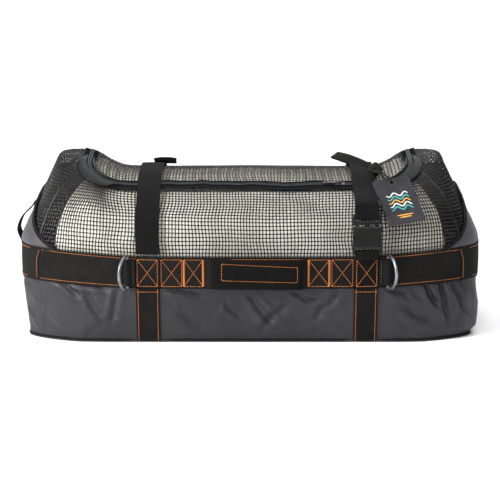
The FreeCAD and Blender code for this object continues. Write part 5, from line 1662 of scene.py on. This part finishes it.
def pillow(cen_, ax, ay, az, sx_, sy_, sz_, pw=0.45, nu=34, nv=22, seed=0, amp=0.4):
    """Folded webbing knot: closed crowned block."""
    th = np.linspace(0, 2 * np.pi, nu + 1)[:-1]
    ph = np.linspace(-np.pi / 2, np.pi / 2, nv)[1:-1]
    def sp(v, p):
        return np.sign(v) * np.abs(v) ** p
    A, B = np.meshgrid(th, ph, indexing="ij")
    X = sx_ * sp(np.cos(A), pw) * sp(np.cos(B), 0.55)
    Y = sy_ * sp(np.sin(A), pw) * sp(np.cos(B), 0.55)
    Z = sz_ * sp(np.sin(B), 0.8)
    w = amp * vnoise(X / 5.0, Y / 5.0, 70 + seed)
    P = np.asarray(cen_) + X[..., None] * ax + Y[..., None] * ay + (Z + w * np.sign(Z))[..., None] * az
    n_, m_ = P.shape[:2]
    V = np.concatenate([P.reshape(-1, 3), [np.asarray(cen_) - az * sz_, np.asarray(cen_) + az * sz_]])
    idx = np.arange(n_ * m_).reshape(n_, m_)
    nx_ = np.roll(idx, -1, 0)
    q = np.stack([idx[:, :-1], nx_[:, :-1], nx_[:, 1:], idx[:, 1:]], -1).reshape(-1, 4)
    f1 = np.stack([nx_[:, 0], idx[:, 0], np.full(n_, n_ * m_)], -1)
    f2 = np.stack([idx[:, -1], nx_[:, -1], np.full(n_, n_ * m_ + 1)], -1)
    U = np.concatenate([np.stack([X, Y], -1).reshape(-1, 2), [[0, 0], [0, 0]]])
    return V, [q, f1, f2], U


bg = Bag()
kx, ky = unit((0.72, 0.10, 0.69)), unit((-0.69, 0.05, 0.72))
kz = np.cross(kx, ky)
ky = np.cross(kz, kx)
V, F, U = pillow(kn + [0, 0, 1.0], kx, ky, kz, 10.5, 10.0, 4.6)
bg.add(V, F, U)
# wrapped turns of the knot
for o, tilt in ((-3.6, 0.15), (3.2, -0.1)):
    a = np.linspace(0, 2 * np.pi, 41)[:-1]
    Q = kn + [0, 0, 1.0] + kx * (o + tilt * 0) + np.outer(np.cos(a), ky) * 9.9 + np.outer(np.sin(a), kz) * 4.7 + np.outer(np.cos(a), kx) * tilt * 6
    Nn = np.outer(np.cos(a), ky) + np.outer(np.sin(a), kz)
    V, F, U = tube(Q, Nn, 2.6, 0.8, 8, closed=True)
    bg.add(V, F, U)
bg.make("tag_knot", M_CORD, "right_strap", slot="tag_cord", sharp=None)


def ribbon3(ctrl, wid, wdir, t=1.6, step=2.2, twist=None):
    """Webbing along a 3-D path; wdir is the across direction."""
    c = smooth_path(np.asarray(ctrl, float), step)
    T = np.gradient(c, axis=0)
    T /= np.linalg.norm(T, axis=1, keepdims=True)
    k = np.linspace(0, 1, len(c))
    W = np.array([unit(np.asarray(wdir[0]) * (1 - q) + np.asarray(wdir[1]) * q) for q in k])
    W -= T * (W * T).sum(1, keepdims=True)
    W /= np.linalg.norm(W, axis=1, keepdims=True)
    N = np.cross(W, T)
    wid = np.interp(k, np.linspace(0, 1, len(wid)), wid)
    a = edged(-0.5, 0.5, 7, 0.02)
    P = c[:, None] + W[:, None] * (a[None, :, None] * wid[:, None, None])
    Nn = np.repeat(N[:, None], len(a), 1)
    d = np.concatenate([[0], np.cumsum(np.linalg.norm(np.diff(c, axis=0), axis=1))])
    U = np.stack([a[None] * wid[:, None], np.repeat(d[:, None], len(a), 1)], -1)
    return thick(P, Nn, t / 2, -t / 2, U)


# loose tail of the right strap: folded on itself, tapering towards the knot
bg = Bag()
zc0 = float(top(170.0, 20.0)[0][2]) - 3.5
V, F, U = ribbon3([(143.0, 34.0, zc0 + 21.0), (152.0, 26.0, zc0 + 19.5), (172.0, 4.0, zc0 + 16.0), (192.0, -24.0, zc0 + 13.0), (203.0, -46.0, zc0 + 10.5)], [20, 19, 14, 9, 7], [(0.1, 0.9, 0.35), (0.35, 0.5, 0.8)], 1.6)
bg.add(V, F, U)
V, F, U = ribbon3([(143.0, 36.0, zc0 + 17.6), (152.0, 29.0, zc0 + 16.2), (172.0, 8.0, zc0 + 12.6), (192.0, -20.0, zc0 + 10.0), (203.0, -44.0, zc0 + 8.2)], [20, 19, 15, 10, 8], [(0.0, 0.95, 0.2), (0.35, 0.6, 0.7)], 1.6)
bg.add(V, F, U)
bg.make("strap_tail_right", M_WEB, "right_strap", slot="webbing", sharp=50)
sb = Bag()
P = np.array([(144.6, 44.5, zc0 + 22.0), (144.0, 34.0, zc0 + 21.9), (144.6, 26.0, zc0 + 20.2)])
stitches(sb, P, np.tile([0.1, -0.2, 0.97], (3, 1)), 3.6, 3.0, 0.5, 0.3)
sb.make("tail_stitching_right", M_THREAD, "right_strap", slot="webbing", sharp=None)

# short folded tail behind the crest of the left strap
zc1 = float(top(-143.0, 52.0)[0][2])
bg = Bag()
V, F, U = ribbon3([(-164.0, 50.0, zc1 + 9.4), (-150.0, 50.5, zc1 + 11.2), (-138.0, 50.8, zc1 + 11.2), (-126.0, 51.0, zc1 + 9.8)], [34, 34, 34, 34], [(0.05, 1.0, -0.32), (0.05, 1.0, -0.32)], 1.8)
bg.add(V, F, U)
V, F, U = ribbon3([(-164.0, 52.0, zc1 + 7.2), (-150.0, 52.5, zc1 + 7.4), (-138.0, 52.8, zc1 + 7.4), (-126.0, 53.0, zc1 + 7.0)], [34, 34, 34, 34], [(0.05, 1.0, -0.32), (0.05, 1.0, -0.32)], 1.8)
bg.add(V, F, U)
bg.make("strap_tail_left", M_WEB, "left_strap", slot="webbing", sharp=50)

# =====================================================================================
# Camera, light and floor
# =====================================================================================
cam = bpy.data.objects.new("camera", bpy.data.cameras.new("camera"))
bpy.context.scene.collection.objects.link(cam)
cam.location = (0.0, -2.521, 0.6104)
cam.rotation_euler = (math.radians(90 - 11.0), 0.0, 0.0)
cam.data.lens = 108.68
cam.data.sensor_width = 36.0
cam.data.clip_end = 50.0
bpy.context.scene.camera = cam

bpy.context.scene.view_settings.view_transform = "Standard"
world = bpy.data.worlds.new("world")
bpy.context.scene.world = world
world.use_nodes = True
world.node_tree.nodes["Background"].inputs[0].default_value = (1.0, 1.0, 1.0, 1.0)
world.node_tree.nodes["Background"].inputs[1].default_value = 0.32


def area(name, loc, size, power, target=(0, 0, 0.12), size_y=None):
    d = bpy.data.lights.new(name, "AREA")
    d.energy = power
    d.size = size
    if size_y:
        d.shape = "RECTANGLE"
        d.size_y = size_y
    o = bpy.data.objects.new(name, d)
    bpy.context.scene.collection.objects.link(o)
    o.location = loc
    v = Vector(target) - Vector(loc)
    o.rotation_euler = v.to_track_quat("-Z", "Y").to_euler()
    return o


def sun(name, direction, strength, angle):
    d = bpy.data.lights.new(name, "SUN")
    d.energy = strength
    d.angle = math.radians(angle)
    o = bpy.data.objects.new(name, d)
    bpy.context.scene.collection.objects.link(o)
    o.rotation_euler = Vector(direction).to_track_quat("-Z", "Y").to_euler()
    return o


sun("soft_front", (0.84, 0.52, -0.80), 2.0, 16.0)
sun("soft_top", (-0.10, -0.05, -1.0), 2.0, 60.0)
area("left_card", (-1.15, -0.95, 0.60), 0.7, 24.0, target=(-0.32, -0.15, 0.08))
area("front_card", (0.0, -1.9, 1.3), 0.7, 8.0, target=(0.0, -0.1, 0.2), size_y=0.3)
area("glint", (0.5, -1.3, 1.5), 0.4, 4.0, size_y=0.2)
area("rim", (0.2, 1.5, 1.6), 1.6, 9.0, size_y=0.7)

fn = NT("floor_pale")
fo = fn.obj()
fcol = fn.ramp(fn.noise(fo, 3.0, 2.0), [(0.0, (0.90, 0.90, 0.90)), (1.0, (0.94, 0.94, 0.94))])
floor_mat = fn.done(fcol, 0.9)
g = np.array([[-40000, -9000, 0], [40000, -9000, 0], [40000, 90000, 0], [-40000, 90000, 0]], float)
g[:, 2] = -0.05
floor = make("floor", g, [np.array([[0, 1, 2, 3]])], floor_mat, None, sharp=None)
